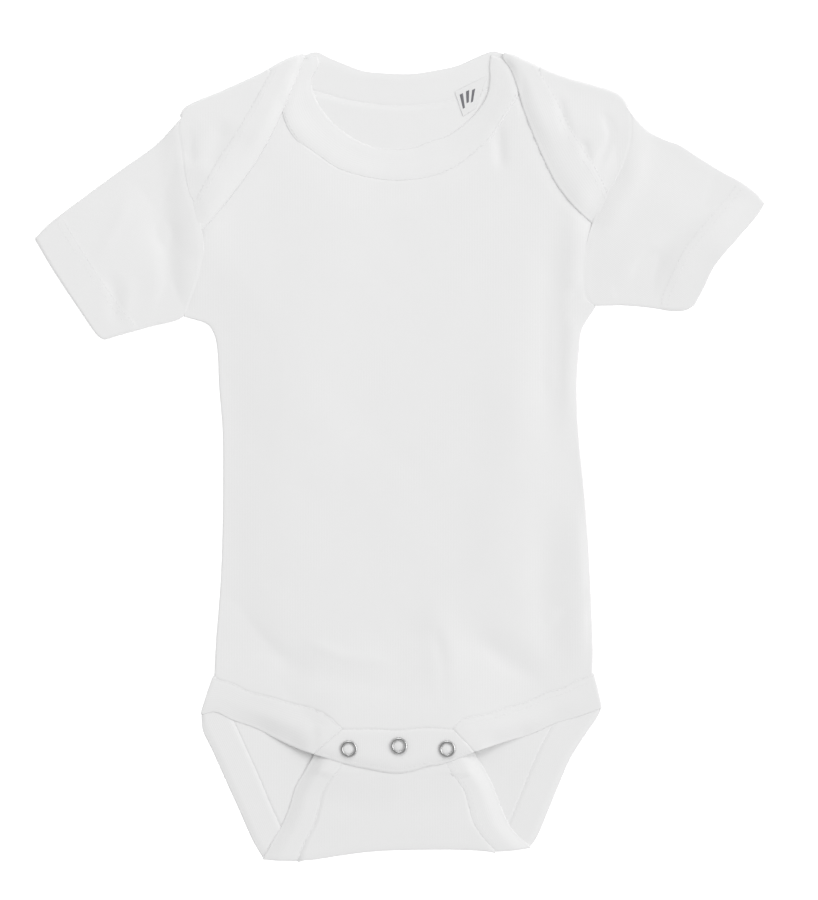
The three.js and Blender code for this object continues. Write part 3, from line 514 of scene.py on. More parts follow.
def band_level(x, y):
    """The snap band: sunk to its lower edge, drawn down round each snap, with cloth up through its ring."""
    groove = BAND_GROOVE * hump(nearest(x, y, BAND_TOP[::FINE, :2])[0], BAND_GROOVE_REACH)
    height = LEVEL["front"] + BAND_STEP + lift(x, y) - groove
    for sx, sy in SNAPS.values():
        far = np.hypot(x - sx, y - sy)
        height = height - SNAP_DIP["depth"] * hump(far, SNAP_DIP["reach"])
        height = height + SNAP_PLUG["height"] * hump(far, SNAP_PLUG["reach"], 4)
    down = ease(1 - nearest(x, y, BAND_BOTTOM[::FINE, :2])[0] / BAND_SINK)
    return height * (1 - down) + (tongue_level(x, y) + ON_TONGUE) * down


def sleeve_level(side):
    armhole = OUTLINE[side]["armhole"][:3] + [FLAP[side]["end"], FLAP[side]["edge"][-1]]

    def level(x, y):
        near = ease(1 - nearest(x, y, armhole)[0] / SLEEVE_RAMP)
        rise = SLEEVE_RISE + FLAP_RISE * climb(y, CLIMB["flap"]) - TIP_SINK * at_tip(x, y)
        return LEVEL["sleeve"] + rise * near + lift(x, y)

    return level


def mean_shares(a, b):
    """How far along two lines each station is in plan, as shares from 0 to 1, averaged."""
    reach = [np.concatenate([[0], np.cumsum(np.hypot(*np.diff(line[:, :2], axis=0).T))]) for line in (a, b)]
    return (reach[0] / reach[0][-1] + reach[1] / reach[1][-1]) / 2


def quilt(first, last, left, right, level):
    """Stations between four edges that meet at their ends: rows run from first to last.

    The edges' bends fade inwards quickly enough that no row crosses the next one.
    """
    v = mean_shares(left, right)[:, None, None]
    u = mean_shares(first, last)[None, :, None]
    low = first[0] * (1 - u) + first[-1] * u
    high = last[0] * (1 - u) + last[-1] * u
    start = left[0] * (1 - v) + left[-1] * v
    end = right[0] * (1 - v) + right[-1] * v
    sheet = low * (1 - v) + high * v
    sheet = sheet + (first[None] - low) * (1 - v) ** END_FADE + (last[None] - high) * v**END_FADE
    sheet = sheet + (left[:, None] - start) * (1 - u) ** SIDE_FADE + (right[:, None] - end) * u**SIDE_FADE
    sheet[..., 2] = level(sheet[..., 0], sheet[..., 1])
    return sheet


def strip(seam, edge, level, part, rest):
    """A binding's stations between its seam and its free edge, which sinks to rest on what it covers."""
    t = SHARES[None, :, None]
    sheet = seam[:, None] * (1 - t) + edge[:, None] * t
    x, y = sheet[..., 0], sheet[..., 1]
    sheet[..., 2] = sunk(t[..., 0], part, level(x, y), rest(x, y))
    return sheet


def floor_strip(seam, edge):
    """A binding that lies on the floor."""
    t = SHARES[None, :, None]
    sheet = seam[:, None] * (1 - t) + edge[:, None] * t
    sheet[..., 2] = WALLS / 2
    return sheet


def floored(line):
    """A line across a binding, brought down to the floor."""
    return np.column_stack([line[:, :2], WALLS / 2])


def turn(lower, upper, outward, steps=TURN):
    """The rows of a fold between one line and the same line a layer up, round outside the cloth."""
    angle = (np.pi * np.arange(1, steps) / steps)[:, None, None]
    mix = (1 - np.cos(angle)) / 2
    radius = ((upper[:, 2] - lower[:, 2]) / 2)[None, :, None]
    return lower[None] * (1 - mix) + upper[None] * mix + outward[None] * radius * np.sin(angle)


def side_wrap(rail, outward, way, steps=4):
    """A quarter bend that takes a rail out and down (way -1) or up (way 1), as columns."""
    angle = (np.pi / 2 * np.arange(steps + 1) / steps)[None, :, None]
    up = np.array([0.0, 0.0, 1.0])
    return rail[:, None] + SIDE_BEND * (outward[:, None] * np.sin(angle) + way * up * (1 - np.cos(angle)))


def plan_grain(rows, angle=0.0):
    """The knit's own directions on a panel: across the wales, and along them."""
    c, s = math.cos(angle), math.sin(angle)
    return np.stack([rows[..., 0] * c + rows[..., 1] * s, rows[..., 1] * c - rows[..., 0] * s], -1)


def strip_grain(rows):
    """Across and along a strip."""
    middle = rows[:, rows.shape[1] // 2]
    along = np.concatenate([[0], np.cumsum(np.linalg.norm(np.diff(middle, axis=0), axis=1))])
    width = np.linalg.norm(rows[:, -1] - rows[:, 0], axis=1).mean()
    across = width * SHARES
    return np.stack(np.meshgrid(across, along), -1)


class Cloth:
    """Patches of stations welded where they meet, then thickened half their wall each way."""

    def __init__(self, name):
        self.name = name
        self.points, self.walls, self.grains, self.quads = [], [], [], []

    def add(self, rows, grain=None, wall=KNIT, ring=False):
        rows = np.asarray(rows)
        grain = plan_grain(rows) if grain is None else grain
        count = sum(len(part) for part in self.points)
        index = count + np.arange(rows.shape[0] * rows.shape[1]).reshape(rows.shape[:2])
        if ring:
            index = np.hstack([index, index[:, :1]])
        corners = [index[:-1, :-1], index[:-1, 1:], index[1:, 1:], index[1:, :-1]]
        self.quads.append(np.stack([c.ravel() for c in corners], -1))
        self.points.append(rows.reshape(-1, 3))
        self.grains.append(np.asarray(grain).reshape(-1, 2))
        self.walls.append(np.broadcast_to(wall, rows.shape[:2]).ravel())
        return self

    def welded(self):
        loose = np.vstack(self.points)
        _, first, joined = np.unique(np.round(loose, 2), axis=0, return_index=True, return_inverse=True)
        return loose[first], np.concatenate(self.walls)[first], joined.reshape(-1)

    def mesh(self, finish):
        points, walls, joined = self.welded()
        own = np.vstack(self.quads)
        grain = np.vstack(self.grains)[own]
        faces = joined[own]
        kept = (faces[:, 0] != faces[:, 2]) & (faces[:, 1] != faces[:, 3])
        faces, grain = faces[kept], grain[kept]
        corner = points[faces]
        face_normals = np.cross(corner[:, 2] - corner[:, 0], corner[:, 3] - corner[:, 1])
        normals = np.zeros_like(points)
        for k in range(4):
            np.add.at(normals, faces[:, k], face_normals)
        normals /= np.maximum(np.linalg.norm(normals, axis=1), 1e-9)[:, None]

        count = len(points)
        start, end = faces.ravel(), np.roll(faces, -1, axis=1).ravel()
        start_grain = grain.reshape(-1, 2)
        end_grain = np.roll(grain, -1, axis=1).reshape(-1, 2)
        open_edge = ~np.isin(start * count + end, end * count + start) & (start != end)
        start, end = start[open_edge], end[open_edge]
        start_grain, end_grain = start_grain[open_edge], end_grain[open_edge]
        outward = np.zeros_like(points)
        away = np.cross(points[end] - points[start], (normals[start] + normals[end]) / 2)
        np.add.at(outward, start, away)
        np.add.at(outward, end, away)
        outward /= np.maximum(np.linalg.norm(outward, axis=1), 1e-9)[:, None]

        half = (walls / 2)[:, None]
        corners = [points + normals * half, points - normals * half, points + outward * half * RIM]
        corners = np.vstack(corners)
        corners[:, 2] = np.maximum(corners[:, 2], 0)
        rim = [
            np.column_stack([start, start + 2 * count, end + 2 * count, end]),
            np.column_stack([start + 2 * count, start + count, end + count, end + 2 * count]),
        ]
        polygons = np.vstack([faces, faces[:, ::-1] + count] + rim)
        rim_grain = np.stack([start_grain, start_grain, end_grain, end_grain], 1)
        grains = np.vstack([grain, grain[:, ::-1], rim_grain, rim_grain])
        a, b, c, d = (corners[polygons[:, k]] for k in range(4))
        volume_sign = np.sign(np.einsum("ij,ij->i", a, np.cross(b, c) + np.cross(c, d)).sum())
        if volume_sign < 0:
            polygons, grains = polygons[:, ::-1], grains[:, ::-1]
        piece = mesh_object(self.name, corners * MM, polygons, finish, grains * MM)
        mark_armholes(piece.data)
        return piece


def mark_armholes(mesh):
    """Marks the armholes' borders sharp, so that the cloth is shaded evenly up to the seam."""
    corners = np.empty(len(mesh.vertices) * 3)
    mesh.vertices.foreach_get("co", corners)
    x, y = corners.reshape(-1, 3)[:, :2].T / MM
    far = np.min([nearest(x, y, line[::2, :2])[0] for line in ARMHOLES.values()], axis=0)
    at_seam = far < ARMHOLE_BORDER
    ends = np.empty(len(mesh.edges) * 2, np.int32)
    mesh.edges.foreach_get("vertices", ends)
    a, b = ends.reshape(-1, 2).T
    marks = mesh.attributes.new("sharp_edge", "BOOLEAN", "EDGE")
    marks.data.foreach_set("value", at_seam[a] & at_seam[b])


def mesh_object(name, corners, polygons, finish, grains=None):
    """A smooth mesh object from corners in metres; a quad with two like corners becomes a triangle."""
    used = np.unique(polygons)
    renumber = np.zeros(len(corners), int)
    renumber[used] = np.arange(len(used))
    faces, loops = [], []
    grain_rows = grains if grains is not None else np.zeros(polygons.shape + (2,))
    for face, grain in zip(renumber[polygons].tolist(), grain_rows.tolist()):
        keep = [k for k in range(len(face)) if face[k] != face[k - 1]]
        if len(keep) > 2:
            faces.append([face[k] for k in keep])
            loops.extend(grain[k] for k in keep)
    mesh = bpy.data.meshes.new(name)
    mesh.from_pydata(corners[used].tolist(), [], faces)
    if grains is not None:
        mesh.uv_layers.new(name="Grain").data.foreach_set("uv", np.array(loops).ravel())
    mesh.shade_smooth()
    mesh.materials.append(finish)
    piece = bpy.data.objects.new(name, mesh)
    bpy.context.scene.collection.objects.link(piece)
    return piece


def placed(piece, slot, *nodes):
    """Rides the piece on the garment's one body, in place of its CAD nodes."""
    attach(piece, BODY)
    if nodes:
        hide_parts(*nodes)
    return piece


# Seams that two pieces share
EVEN = np.linspace(0, 1, ACROSS + 1)
SHARES = (EVEN + (1 - np.cos(np.pi * EVEN)) / 2) / 2  # across a binding, closer at its edges
WALLS = SEWN + (STRIP - SEWN) * ease(SHARES / 0.13) + (FREE - STRIP) * ease((SHARES - 0.82) / 0.18)
NECK_SEAM = run(NECK["front_seam"], COUNT["neck"] * FINE)
NECK_EDGE = run(NECK["front_edge"], COUNT["neck"] * FINE)
LEG_SEAMS = {side: run(LEG[side]["front_seam"], COUNT["leg"] * FINE) for side in LEG}
BAND_TOP = run(SNAP_BAND["top"], COUNT["band"] * FINE)
BAND_BOTTOM = run(SNAP_BAND["bottom"], COUNT["band"] * FINE)
ARMHOLES = {side: run(OUTLINE[side]["armhole"], SLEEVE["across"] * FINE) for side in OUTLINE}
INWARD = {"left": -1, "right": 1}


def fold_line(side):
    """The line across the flap's binding where it leaves the floor to fold over the shoulder."""
    line = stations(OUTLINE[side]["bump"], SHARES)
    x, y = line[:, 0], line[:, 1]
    over = sunk(SHARES, SINK["flap"], flap_strip_level(x, y), flap_strip_rest(x, y))
    return sideways(line, INWARD[side] * (over + WALLS / 2) / 2)


FOLD_LINES = {side: fold_line(side) for side in OUTLINE}
FLAP_SEAMS = {
    side: run([FOLD_LINES[side][0]] + FLAP[side]["seam"], UNDER["flap"] * FINE) for side in OUTLINE
}


def body_side(side):
    """The armhole on the body's side, from the underarm up, that runs a little way under the sleeve."""
    lap = LAP + SHOULDER_LAP * onto(ARMHOLES[side][:, 1], SHOULDER_CLIMB)
    return sideways(ARMHOLES[side], INWARD[side] * lap)[::-1]


def body_rail(side, corner, sleeve_seam, steps):
    """A side of the body, from its corner at the leg up to the underarm and on up the armhole."""
    inset = sideways(spots(OUTLINE[side]["side"]), INWARD[side] * SIDE_INSET)[1:-2]
    return chain(run([corner, *inset, sleeve_seam[0]], steps), sleeve_seam)


def hip_corner(side):
    """The lower corner of both panels at the side of the body."""
    x, y = LEG[side]["front_seam"][-1]
    return x - INWARD[side] * SIDE_INSET, y - TUCK


def with_sides(cloth, base, steps, way):
    """Adds a panel's quilt, thin at its armholes, and the bends at its two sides."""
    walls = np.full(base.shape[:2], KNIT)
    for k, wall in enumerate(SEAM_WALLS):
        walls[steps + 1:, [k, -1 - k]] = wall
    cloth.add(base, None, walls)
    left = side_wrap(base[:steps + 1, 0], square_to(base[:steps + 1, 0], 1), way)
    right = side_wrap(base[:steps + 1, -1], square_to(base[:steps + 1, -1], -1), way)
    cloth.add(left[:, ::-1])
    cloth.add(right)


def front_panel(finish):
    cloth = Cloth("front_body")
    seam = sideways(NECK_SEAM, TUCK)[HIDDEN["left"]:-HIDDEN["right"]]
    sleeve_seams = {side: body_side(side) for side in OUTLINE}
    steps = COUNT["shoulder"] * FINE
    outer = {side: line[-1 - FINE] for side, line in sleeve_seams.items()}
    left = run([outer["left"], *SHOULDER_LINE["left"], seam[0]], steps + HIDDEN["left"])
    right = run([seam[-1], *SHOULDER_LINE["right"], outer["right"]], steps + HIDDEN["right"])
    top = chain(left, seam, right)
    bottom = sideways(chain(LEG_SEAMS["left"][::-1], BAND_TOP, LEG_SEAMS["right"]), -TUCK)
    bottom[0, :2], bottom[-1, :2] = hip_corner("left"), hip_corner("right")
    steps = COUNT["side"] * FINE
    rails = [
        body_rail(side, bottom[end], sleeve_seams[side][:-FINE], steps)
        for side, end in (("left", 0), ("right", -1))
    ]
    base = quilt(bottom, top, *rails, front_level)
    with_sides(cloth, base, steps, -1)
    return cloth.mesh(finish)


def back_neck_seam():
    ends = FOLD_LINES["left"][0], FOLD_LINES["right"][0]
    return run([ends[0], *NECK["back_seam"], ends[1]], UNDER["neck"] * FINE)


def back_base():
    """The lower layer: its quilt, its number of side stations and its two shoulder folds."""
    folds = {}
    for side, half in OUTLINE.items():
        line = run(half["shoulder"], UNDER["shoulder"] * FINE)
        depth = (flap_level(line[:, 0], line[:, 1]) - LEVEL["back"] + KNIT) / 2
        folds[side] = sideways(line, INWARD[side] * depth)
    neck = sideways(back_neck_seam(), TUCK)
    left, right = folds["left"], folds["right"][::-1]
    neck[0], neck[-1] = left[-1], right[0]
    top = chain(left, neck, right)
    crotch = run(CROTCH, UNDER["crotch"] * FINE)
    leg_left = sideways(run(LEG["left"]["back_seam"], UNDER["leg"] * FINE), -TUCK)
    leg_right = sideways(run(LEG["right"]["back_seam"], UNDER["leg"] * FINE), TUCK)
    crotch[0], crotch[-1] = leg_left[-1], leg_right[-1]
    leg_left[0, :2], leg_right[0, :2] = hip_corner("left"), hip_corner("right")
    bottom = chain(leg_left, crotch, leg_right[::-1])
    steps = UNDER["side"] * FINE
    seams = {"left": body_side("left"), "right": body_side("right")}
    seams["left"][-1], seams["right"][-1] = top[0], top[-1]
    rails = [
        body_rail(side, bottom[end], seams[side], steps) for side, end in (("left", 0), ("right", -1))
    ]
    return quilt(bottom, top, *rails, flat(LEVEL["back"])), steps


def crotch_tongue(base):
    """The back's tongue, folded up in front at the crotch, with its fold."""
    first = UNDER["leg"] * FINE
    fold_row = base[0, first:first + UNDER["crotch"] * FINE + 1]
    left = sideways(run(LEG["left"]["tongue_seam"], UNDER["tongue"] * FINE), TUCK)
    right = sideways(run(LEG["right"]["tongue_seam"], UNDER["tongue"] * FINE), -TUCK)
    left[0], right[0] = fold_row[0], fold_row[-1]
    end = run([left[-1], right[-1]], UNDER["crotch"] * FINE)
    tongue = quilt(fold_row, end, left, right, tongue_level)
    fold = turn(fold_row, tongue[0], square_to(fold_row, -1))
    return np.concatenate([tongue[::-1], fold[::-1], fold_row[None]])


def shoulder_flap(side, row):
    """A shoulder flap and the fold that it comes over from the back's top row, with its walls."""
    is_left = side == "left"
    seam = sideways(FLAP_SEAMS[side], -INWARD[side] * TUCK)
    sleeve_seam = body_side(side)[::-1]
    tip = spots([FLAP[side]["end"]])[0]
    start = row[0] if is_left else row[-1]
    coarse = sleeve_seam[::2]
    between = coarse[(coarse[:, 1] > tip[1] + END_CLEAR) & (coarse[:, 1] < start[1] - END_CLEAR)]
    outer = run([start, *between, tip], UNDER["flap"] * FINE)
    seam[0] = row[-1] if is_left else row[0]
    near, far = (outer, seam) if is_left else (seam, outer)
    last = run([near[-1], far[-1]], UNDER["shoulder"] * FINE)
    flap = quilt(row, last, near, far, flap_level)
    outward = square_to(row, 1)
    lean = start - outer[FINE]
    lean[2] = 0
    outward[0 if is_left else -1] = lean / np.linalg.norm(lean)
    rows = np.concatenate([row[None], turn(row, flap[0], outward), flap])
    walls = np.full(rows.shape[:2], KNIT)
    for k, wall in enumerate(SEAM_WALLS):
        walls[TURN + 4:, k if is_left else -1 - k] = wall
    return rows, None, walls


def back_panel(finish):
    cloth = Cloth("back_body")
    base, steps = back_base()
    with_sides(cloth, base, steps, 1)
    cloth.add(crotch_tongue(base))
    columns = UNDER["shoulder"] * FINE + 1
    cloth.add(*shoulder_flap("left", base[-1, :columns]))
    cloth.add(*shoulder_flap("right", base[-1, -columns:]))
    return cloth.mesh(finish)


def back_neck_kept(count):
    """How much of its wall the back neck's strip keeps at each station, less away from the folds."""
    middle = np.minimum(np.arange(count), np.arange(count)[::-1])
    return (1 - (1 - BACK_NECK_WALL) * ease(middle / BACK_NECK_EASE))[:, None]


def back_neck_rows():
    """One strip from the left flap's end, round the back of the neck, to the right flap's end."""
    on_flap = {}
    for side in OUTLINE:
        fold = FOLD_LINES[side]
        edge = run([fold[-1], *FLAP[side]["edge"]], UNDER["flap"] * FINE)
        on_flap[side] = strip(FLAP_SEAMS[side], edge, flap_strip_level, SINK["flap"], flap_strip_rest)
    ends = FOLD_LINES["left"][-1], FOLD_LINES["right"][-1]
    edge = run([ends[0], *NECK["back_edge"], ends[1]], UNDER["neck"] * FINE)
    neck = floor_strip(back_neck_seam(), edge)
    neck[0] = floored(FOLD_LINES["left"])
    neck[-1] = floored(FOLD_LINES["right"])
    kept = back_neck_kept(len(neck))
    neck[..., 2] *= kept
    left = turn(neck[0], on_flap["left"][0], square_to(FOLD_LINES["left"], 1))
    right = turn(neck[-1], on_flap["right"][0], square_to(FOLD_LINES["right"], -1))
    rows = np.concatenate([on_flap["left"][::-1], left[::-1], neck, right, on_flap["right"]])
    walls = np.broadcast_to(WALLS, rows.shape[:2]).copy()
    first = len(on_flap["left"]) + len(left)
    walls[first:first + len(neck)] *= kept
    for k, share in enumerate(STRIP_END_WALLS):
        walls[[k, -1 - k]] *= share
    return rows, walls


def leg_rows(side):
    """One strip round a leg opening: front edge, hip fold, back edge, crotch fold, tongue edge."""
    leg = LEG[side]
    steps = {"front": COUNT["leg"] * FINE, "back": UNDER["leg"] * FINE, "tongue": UNDER["tongue"] * FINE}
    edge = run(leg["front_edge"], steps["front"])
    front = strip(LEG_SEAMS[side], edge, lifted(LEVEL["front"] + SEWN_STEP), SINK["leg"], leg_strip_rest)
    back = floor_strip(*(run(leg[line], steps["back"]) for line in ("back_seam", "back_edge")))
    tongue_lines = [run(leg[line], steps["tongue"]) for line in ("tongue_seam", "tongue_edge")]
    tongue = strip(*tongue_lines, tongue_strip_level, SINK["tongue"], tongue_strip_rest)
    back[0] = floored(front[-1])
    outward = -INWARD[side]
    hip = turn(back[0], front[-1], square_to(front[-1], -outward))[::-1]
    crotch = turn(back[-1], tongue[0], square_to(back[-1], outward))
    return np.concatenate([front, hip, back, crotch, tongue])


def puckered(rows):
    """Small puckers that the stitching draws along a strip's sewn edge."""
    grain = strip_grain(rows)
    across, along = grain[..., 0], grain[..., 1]
    wave = np.sin(along * 2 * np.pi / PUCKER["pitch"] + 1.4 * np.sin(along / 17))
    wave = wave * (0.6 + 0.4 * np.sin(along / 9.7))
    moved = rows.copy()
    moved[..., 2] += PUCKER["height"] * wave * hump(across - PUCKER["centre"], PUCKER["reach"])
    return moved


def strip_piece(name, rows, finish, walls=WALLS):
    rows = puckered(rows)
    return Cloth(name).add(rows, strip_grain(rows), walls).mesh(finish)


def front_neck_rows():
    return strip(NECK_SEAM, NECK_EDGE, neck_level, SINK["neck"], neck_rest)


def snap_band_rows():
    sides = [stations([BAND_TOP[end], BAND_BOTTOM[end]], SHARES) for end in (0, -1)]
    return quilt(BAND_TOP, BAND_BOTTOM, *sides, band_level)


def sleeve_patches(side):
    """The upper and the lower layer of a sleeve, between its armhole and its cuff."""
    half = OUTLINE[side]
    edge_turn = (LEVEL["sleeve"] - LEVEL["back"] + KNIT) / 2
    top = sideways(run(half["sleeve_top"], SLEEVE["along"] * FINE), -INWARD[side] * edge_turn)
    under = sideways(run(half["sleeve_under"], SLEEVE["along"] * FINE), INWARD[side] * edge_turn)
    armhole = np.vstack([top[:1], ARMHOLES[side][1:-1], under[:1]])
    cuff = run([top[-1], *half["cuff"][1:-1], under[-1]], SLEEVE["across"] * FINE)
    upper = quilt(armhole, cuff, top, under, sleeve_level(side))
    lower = quilt(armhole, cuff, top, under, flat(LEVEL["back"]))
    return upper, lower


def sleeve(side, finish):
    upper, lower = sleeve_patches(side)
    outer_end = upper[:, 0] - upper[:, 1]
    inner_end = upper[:, -1] - upper[:, -2]
    for end in (outer_end, inner_end):
        end[:, 2] = 0
        end /= np.linalg.norm(end, axis=1)[:, None]
    outer = turn(lower[:, 0], upper[:, 0], outer_end).transpose(1, 0, 2)
    inner = turn(lower[:, -1], upper[:, -1], inner_end).transpose(1, 0, 2)
    rings = np.concatenate([upper, inner[:, ::-1], lower[:, ::-1], outer], axis=1)
    from_cuff = nearest(rings[..., 0], rings[..., 1], OUTLINE[side]["cuff"])[0]
    hem = ease((SLEEVE["hem"] - from_cuff) / SLEEVE["hem_step"])
    wall = KNIT + (SLEEVE["hem_wall"] - KNIT) * hem
    wall[:, upper.shape[1]:] = KNIT
    wall[:len(SEAM_WALLS), :upper.shape[1]] = np.array(SEAM_WALLS)[:, None]
    grain = plan_grain(rings, math.radians(SLEEVE_GRAIN[side]))
    return Cloth("sleeve_" + side + "_cloth").add(rings, grain, wall, ring=True).mesh(finish)


def surface_line(rows, share, height):
    """A line along a strip at a share of its width, raised square to its surface."""
    k = int(np.searchsorted(SHARES, share)) - 1
    t = (share - SHARES[k]) / (SHARES[k + 1] - SHARES[k])
    line = rows[:, k] * (1 - t) + rows[:, k + 1] * t
    along = np.gradient(line, axis=0)
    normal = np.cross(rows[:, k + 1] - rows[:, k], along)
    normal /= np.maximum(np.linalg.norm(normal, axis=1), 1e-9)[:, None]
    return line + normal * height, normal


def stitched(name, lines, finish, pitch=2.6, length=1.9, radius=0.1):
    """One joined mesh of small stitches, set evenly along lines of points and normals."""
    sides = 6
    turns = np.linspace(0, 2 * np.pi, sides, endpoint=False)
    rings = [(-0.42, 0.75), (0.0, 1.0), (0.42, 0.75)]
    template = [(-0.5, 0.0, 0.0)]
    template += [(u, r * math.cos(a), r * math.sin(a)) for u, r in rings for a in turns]
    template.append((0.5, 0.0, 0.0))
    template = np.array(template)
    last = len(template) - 1
    faces = []
    for k in range(sides):
        n = (k + 1) % sides
        faces.append((0, 1 + n, 1 + k, 1 + k))
        faces += [(1 + sides * r + k, 1 + sides * r + n, 1 + sides * (r + 1) + n, 1 + sides * (r + 1) + k)
                  for r in (0, 1)]
        faces.append((1 + 2 * sides + k, 1 + 2 * sides + n, last, last))
    faces = np.array(faces)
    corners, polygons = [], []
    for line, normal in lines:
        reach = np.concatenate([[0], np.cumsum(np.linalg.norm(np.diff(line, axis=0), axis=1))])
        count = max(1, int(reach[-1] / pitch))
        for k in range(count):
            ends = (k + 0.5) * reach[-1] / count + np.array([-0.5, 0.5]) * length
            a, b = (np.array([np.interp(e, reach, line[:, n]) for n in range(3)]) for e in ends)
            up = np.array([np.interp(ends.mean(), reach, normal[:, n]) for n in range(3)])
            along = b - a
            across = np.cross(up, along)
            across *= radius / max(np.linalg.norm(across), 1e-9)
            up = up * radius / max(np.linalg.norm(up), 1e-9)
            polygons.append(faces + len(corners) * len(template))
            stitch = template[:, :1] * along + template[:, 1:2] * across + template[:, 2:] * up
            corners.append((a + b) / 2 + stitch)
    corners = np.vstack(corners)
    corners[:, 2] = np.maximum(corners[:, 2], 0)
    return mesh_object(name, corners * MM, np.vstack(polygons), finish)


def turned(name, profile, sides, place, tilt, finish):
    """A turned part about its own axis, from a closed profile of radius and height."""
    angles = np.linspace(0, 2 * np.pi, sides, endpoint=False)
    profile = np.array(profile, float)
    corners = np.array([[r * math.cos(a), r * math.sin(a), h] for a in angles for r, h in profile])
    lean = np.array([[1, 0, 0], [0, math.cos(tilt), -math.sin(tilt)], [0, math.sin(tilt), math.cos(tilt)]])
    corners = corners @ lean.T + np.array(place)
    n = len(profile)
    faces = []
    for s in range(sides):
        for k in range(n):
            a, b = s * n + k, s * n + (k + 1) % n
            faces.append((a, (a + n) % (n * sides), (b + n) % (n * sides), b))
    return mesh_object(name, corners * MM, np.array(faces), finish)


def snap_ring(name, finish):
    """A ring snap's cap: a rounded ring on a low foot. The middle one leans a little."""
    x, y = SNAPS[name]
    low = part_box("snap_ring_" + name)[0]
    outer, inner, height, foot = (RING[part] for part in ("outer", "inner", "height", "foot"))
    middle, half = (outer + inner) / 2, (outer - inner) / 2
    crown = [
        (middle + half * math.cos(a), foot + (height - foot) * math.sin(a) ** 0.8)
        for a in np.linspace(0, math.pi, 15)
    ]
    profile = crown + [(inner + 0.1, 0.0), (outer - 0.2, 0.0)]
    tilt = RING["tilt"] if name == "middle" else 0.0
    lean = outer * abs(math.sin(tilt))
    return turned("ring_" + name, profile, 64, (x, y, low.z / MM + lean - foot), tilt, finish)


def node_maker(material):
    """Short ways to add a node, and to join two sockets, in a material's tree."""
    tree = material.node_tree

    def add(kind, **values):
        node = tree.nodes.new(kind)
        for key, value in values.items():
            if hasattr(node, key):
                setattr(node, key, value)
            else:
                node.inputs[key].default_value = value
        return node

    def join(source, target):
        tree.links.new(source, target)

    return add, join


def math_node(add, join, operation, *terms):
    node = add("ShaderNodeMath", operation=operation)
    for k, term in enumerate(terms):
        if isinstance(term, (int, float)):
            node.inputs[k].default_value = term
        else:
            join(term, node.inputs[k])
    return node.outputs[0]


def blank(name):
    material = bpy.data.materials.new(name)
    material.use_nodes = True
    material.node_tree.nodes.clear()
    add, join = node_maker(material)
    shader = add("ShaderNodeBsdfPrincipled")
    output = add("ShaderNodeOutputMaterial")
    join(shader.outputs["BSDF"], output.inputs["Surface"])
    return material, shader, add, join


def two_tones(add, join, source, first, second):
    """A colour that goes from the first to the second with the source."""
    tone = add("ShaderNodeMix", data_type="RGBA")
    tone.inputs["A"].default_value = (*first, 1)
    tone.inputs["B"].default_value = (*second, 1)
    join(source.outputs["Fac"], tone.inputs["Factor"])
    return tone


def toned(colour, share):
    """A colour made darker or lighter by a share."""
    return [min(1, c * share) for c in colour[:3]]


def relieved(add, join, shader, height, strength, distance):
    """Gives a shader the fine relief of a height."""
    relief = add("ShaderNodeBump", Strength=strength, Distance=distance)
    join(height, relief.inputs["Height"])
    join(relief.outputs["Normal"], shader.inputs["Normal"])


def knit_finish(name, looks, wale, course, depth):
    """Knit: rows of small loops along the cloth's own grain, a little fuzz, painted shade between the loops
    and a matt, soft sheen.
    """
    material, shader, add, join = blank(name)
    shader.inputs["Roughness"].default_value = 0.92
    shader.inputs["Specular IOR Level"].default_value = 0.2
    shader.inputs["Sheen Weight"].default_value = looks.sheen
    shader.inputs["Sheen Roughness"].default_value = 0.6
    grain = add("ShaderNodeUVMap", uv_map="Grain")
    split = add("ShaderNodeSeparateXYZ")
    join(grain.outputs["UV"], split.inputs[0])
    across = math_node(add, join, "MULTIPLY", split.outputs["X"], math.pi / wale)
    along = math_node(add, join, "MULTIPLY", split.outputs["Y"], 2 * math.pi / course)
    wales = math_node(add, join, "ABSOLUTE", math_node(add, join, "SINE", across))
    slant = math_node(add, join, "ADD", along, math_node(add, join, "MULTIPLY", wales, 2.2))
    loops = math_node(add, join, "MULTIPLY_ADD", math_node(add, join, "SINE", slant), 0.22, 0.78)
    stitches = math_node(add, join, "MULTIPLY", wales, loops)
    place = add("ShaderNodeTexCoord")
    fuzz = add("ShaderNodeTexNoise", Scale=2600.0, Detail=3.0)
    join(place.outputs["Object"], fuzz.inputs["Vector"])
    height = math_node(add, join, "MULTIPLY_ADD", fuzz.outputs["Fac"], 0.5, stitches)
    relieved(add, join, shader, height, looks.relief, depth)
    mottle = add("ShaderNodeTexNoise", Scale=55.0, Detail=4.0, Roughness=0.6)
    join(place.outputs["Object"], mottle.inputs["Vector"])
    tone = two_tones(add, join, mottle, toned(looks.cloth, 0.99), toned(looks.cloth, 1.01))
    # Painted shade: the base colour is made a little darker between the knit's loops, where shade would
    # fall
    painted_loop_shade = add("ShaderNodeMix", data_type="RGBA", blend_type="MULTIPLY")
    painted_loop_shade.inputs["Factor"].default_value = 0.01
    join(tone.outputs["Result"], painted_loop_shade.inputs["A"])
    join(stitches, painted_loop_shade.inputs["B"])
    join(painted_loop_shade.outputs["Result"], shader.inputs["Base Color"])
    return material


def metal_finish(looks):
    """Nickel plate: bright, with fine tumbling marks."""
    material, shader, add, join = blank("nickel")
    shader.inputs["Base Color"].default_value = (*looks.metal[:3], 1)
    shader.inputs["Metallic"].default_value = 1.0
    place = add("ShaderNodeTexCoord")
    marks = add("ShaderNodeTexNoise", Scale=900.0, Detail=4.0)
    join(place.outputs["Object"], marks.inputs["Vector"])
    rough = add("ShaderNodeMapRange")
    rough.inputs["To Min"].default_value = 0.2
    rough.inputs["To Max"].default_value = 0.36
    join(marks.outputs["Fac"], rough.inputs["Value"])
    join(rough.outputs["Result"], shader.inputs["Roughness"])
    relieved(add, join, shader, marks.outputs["Fac"], 0.15, 0.00004)
    return material


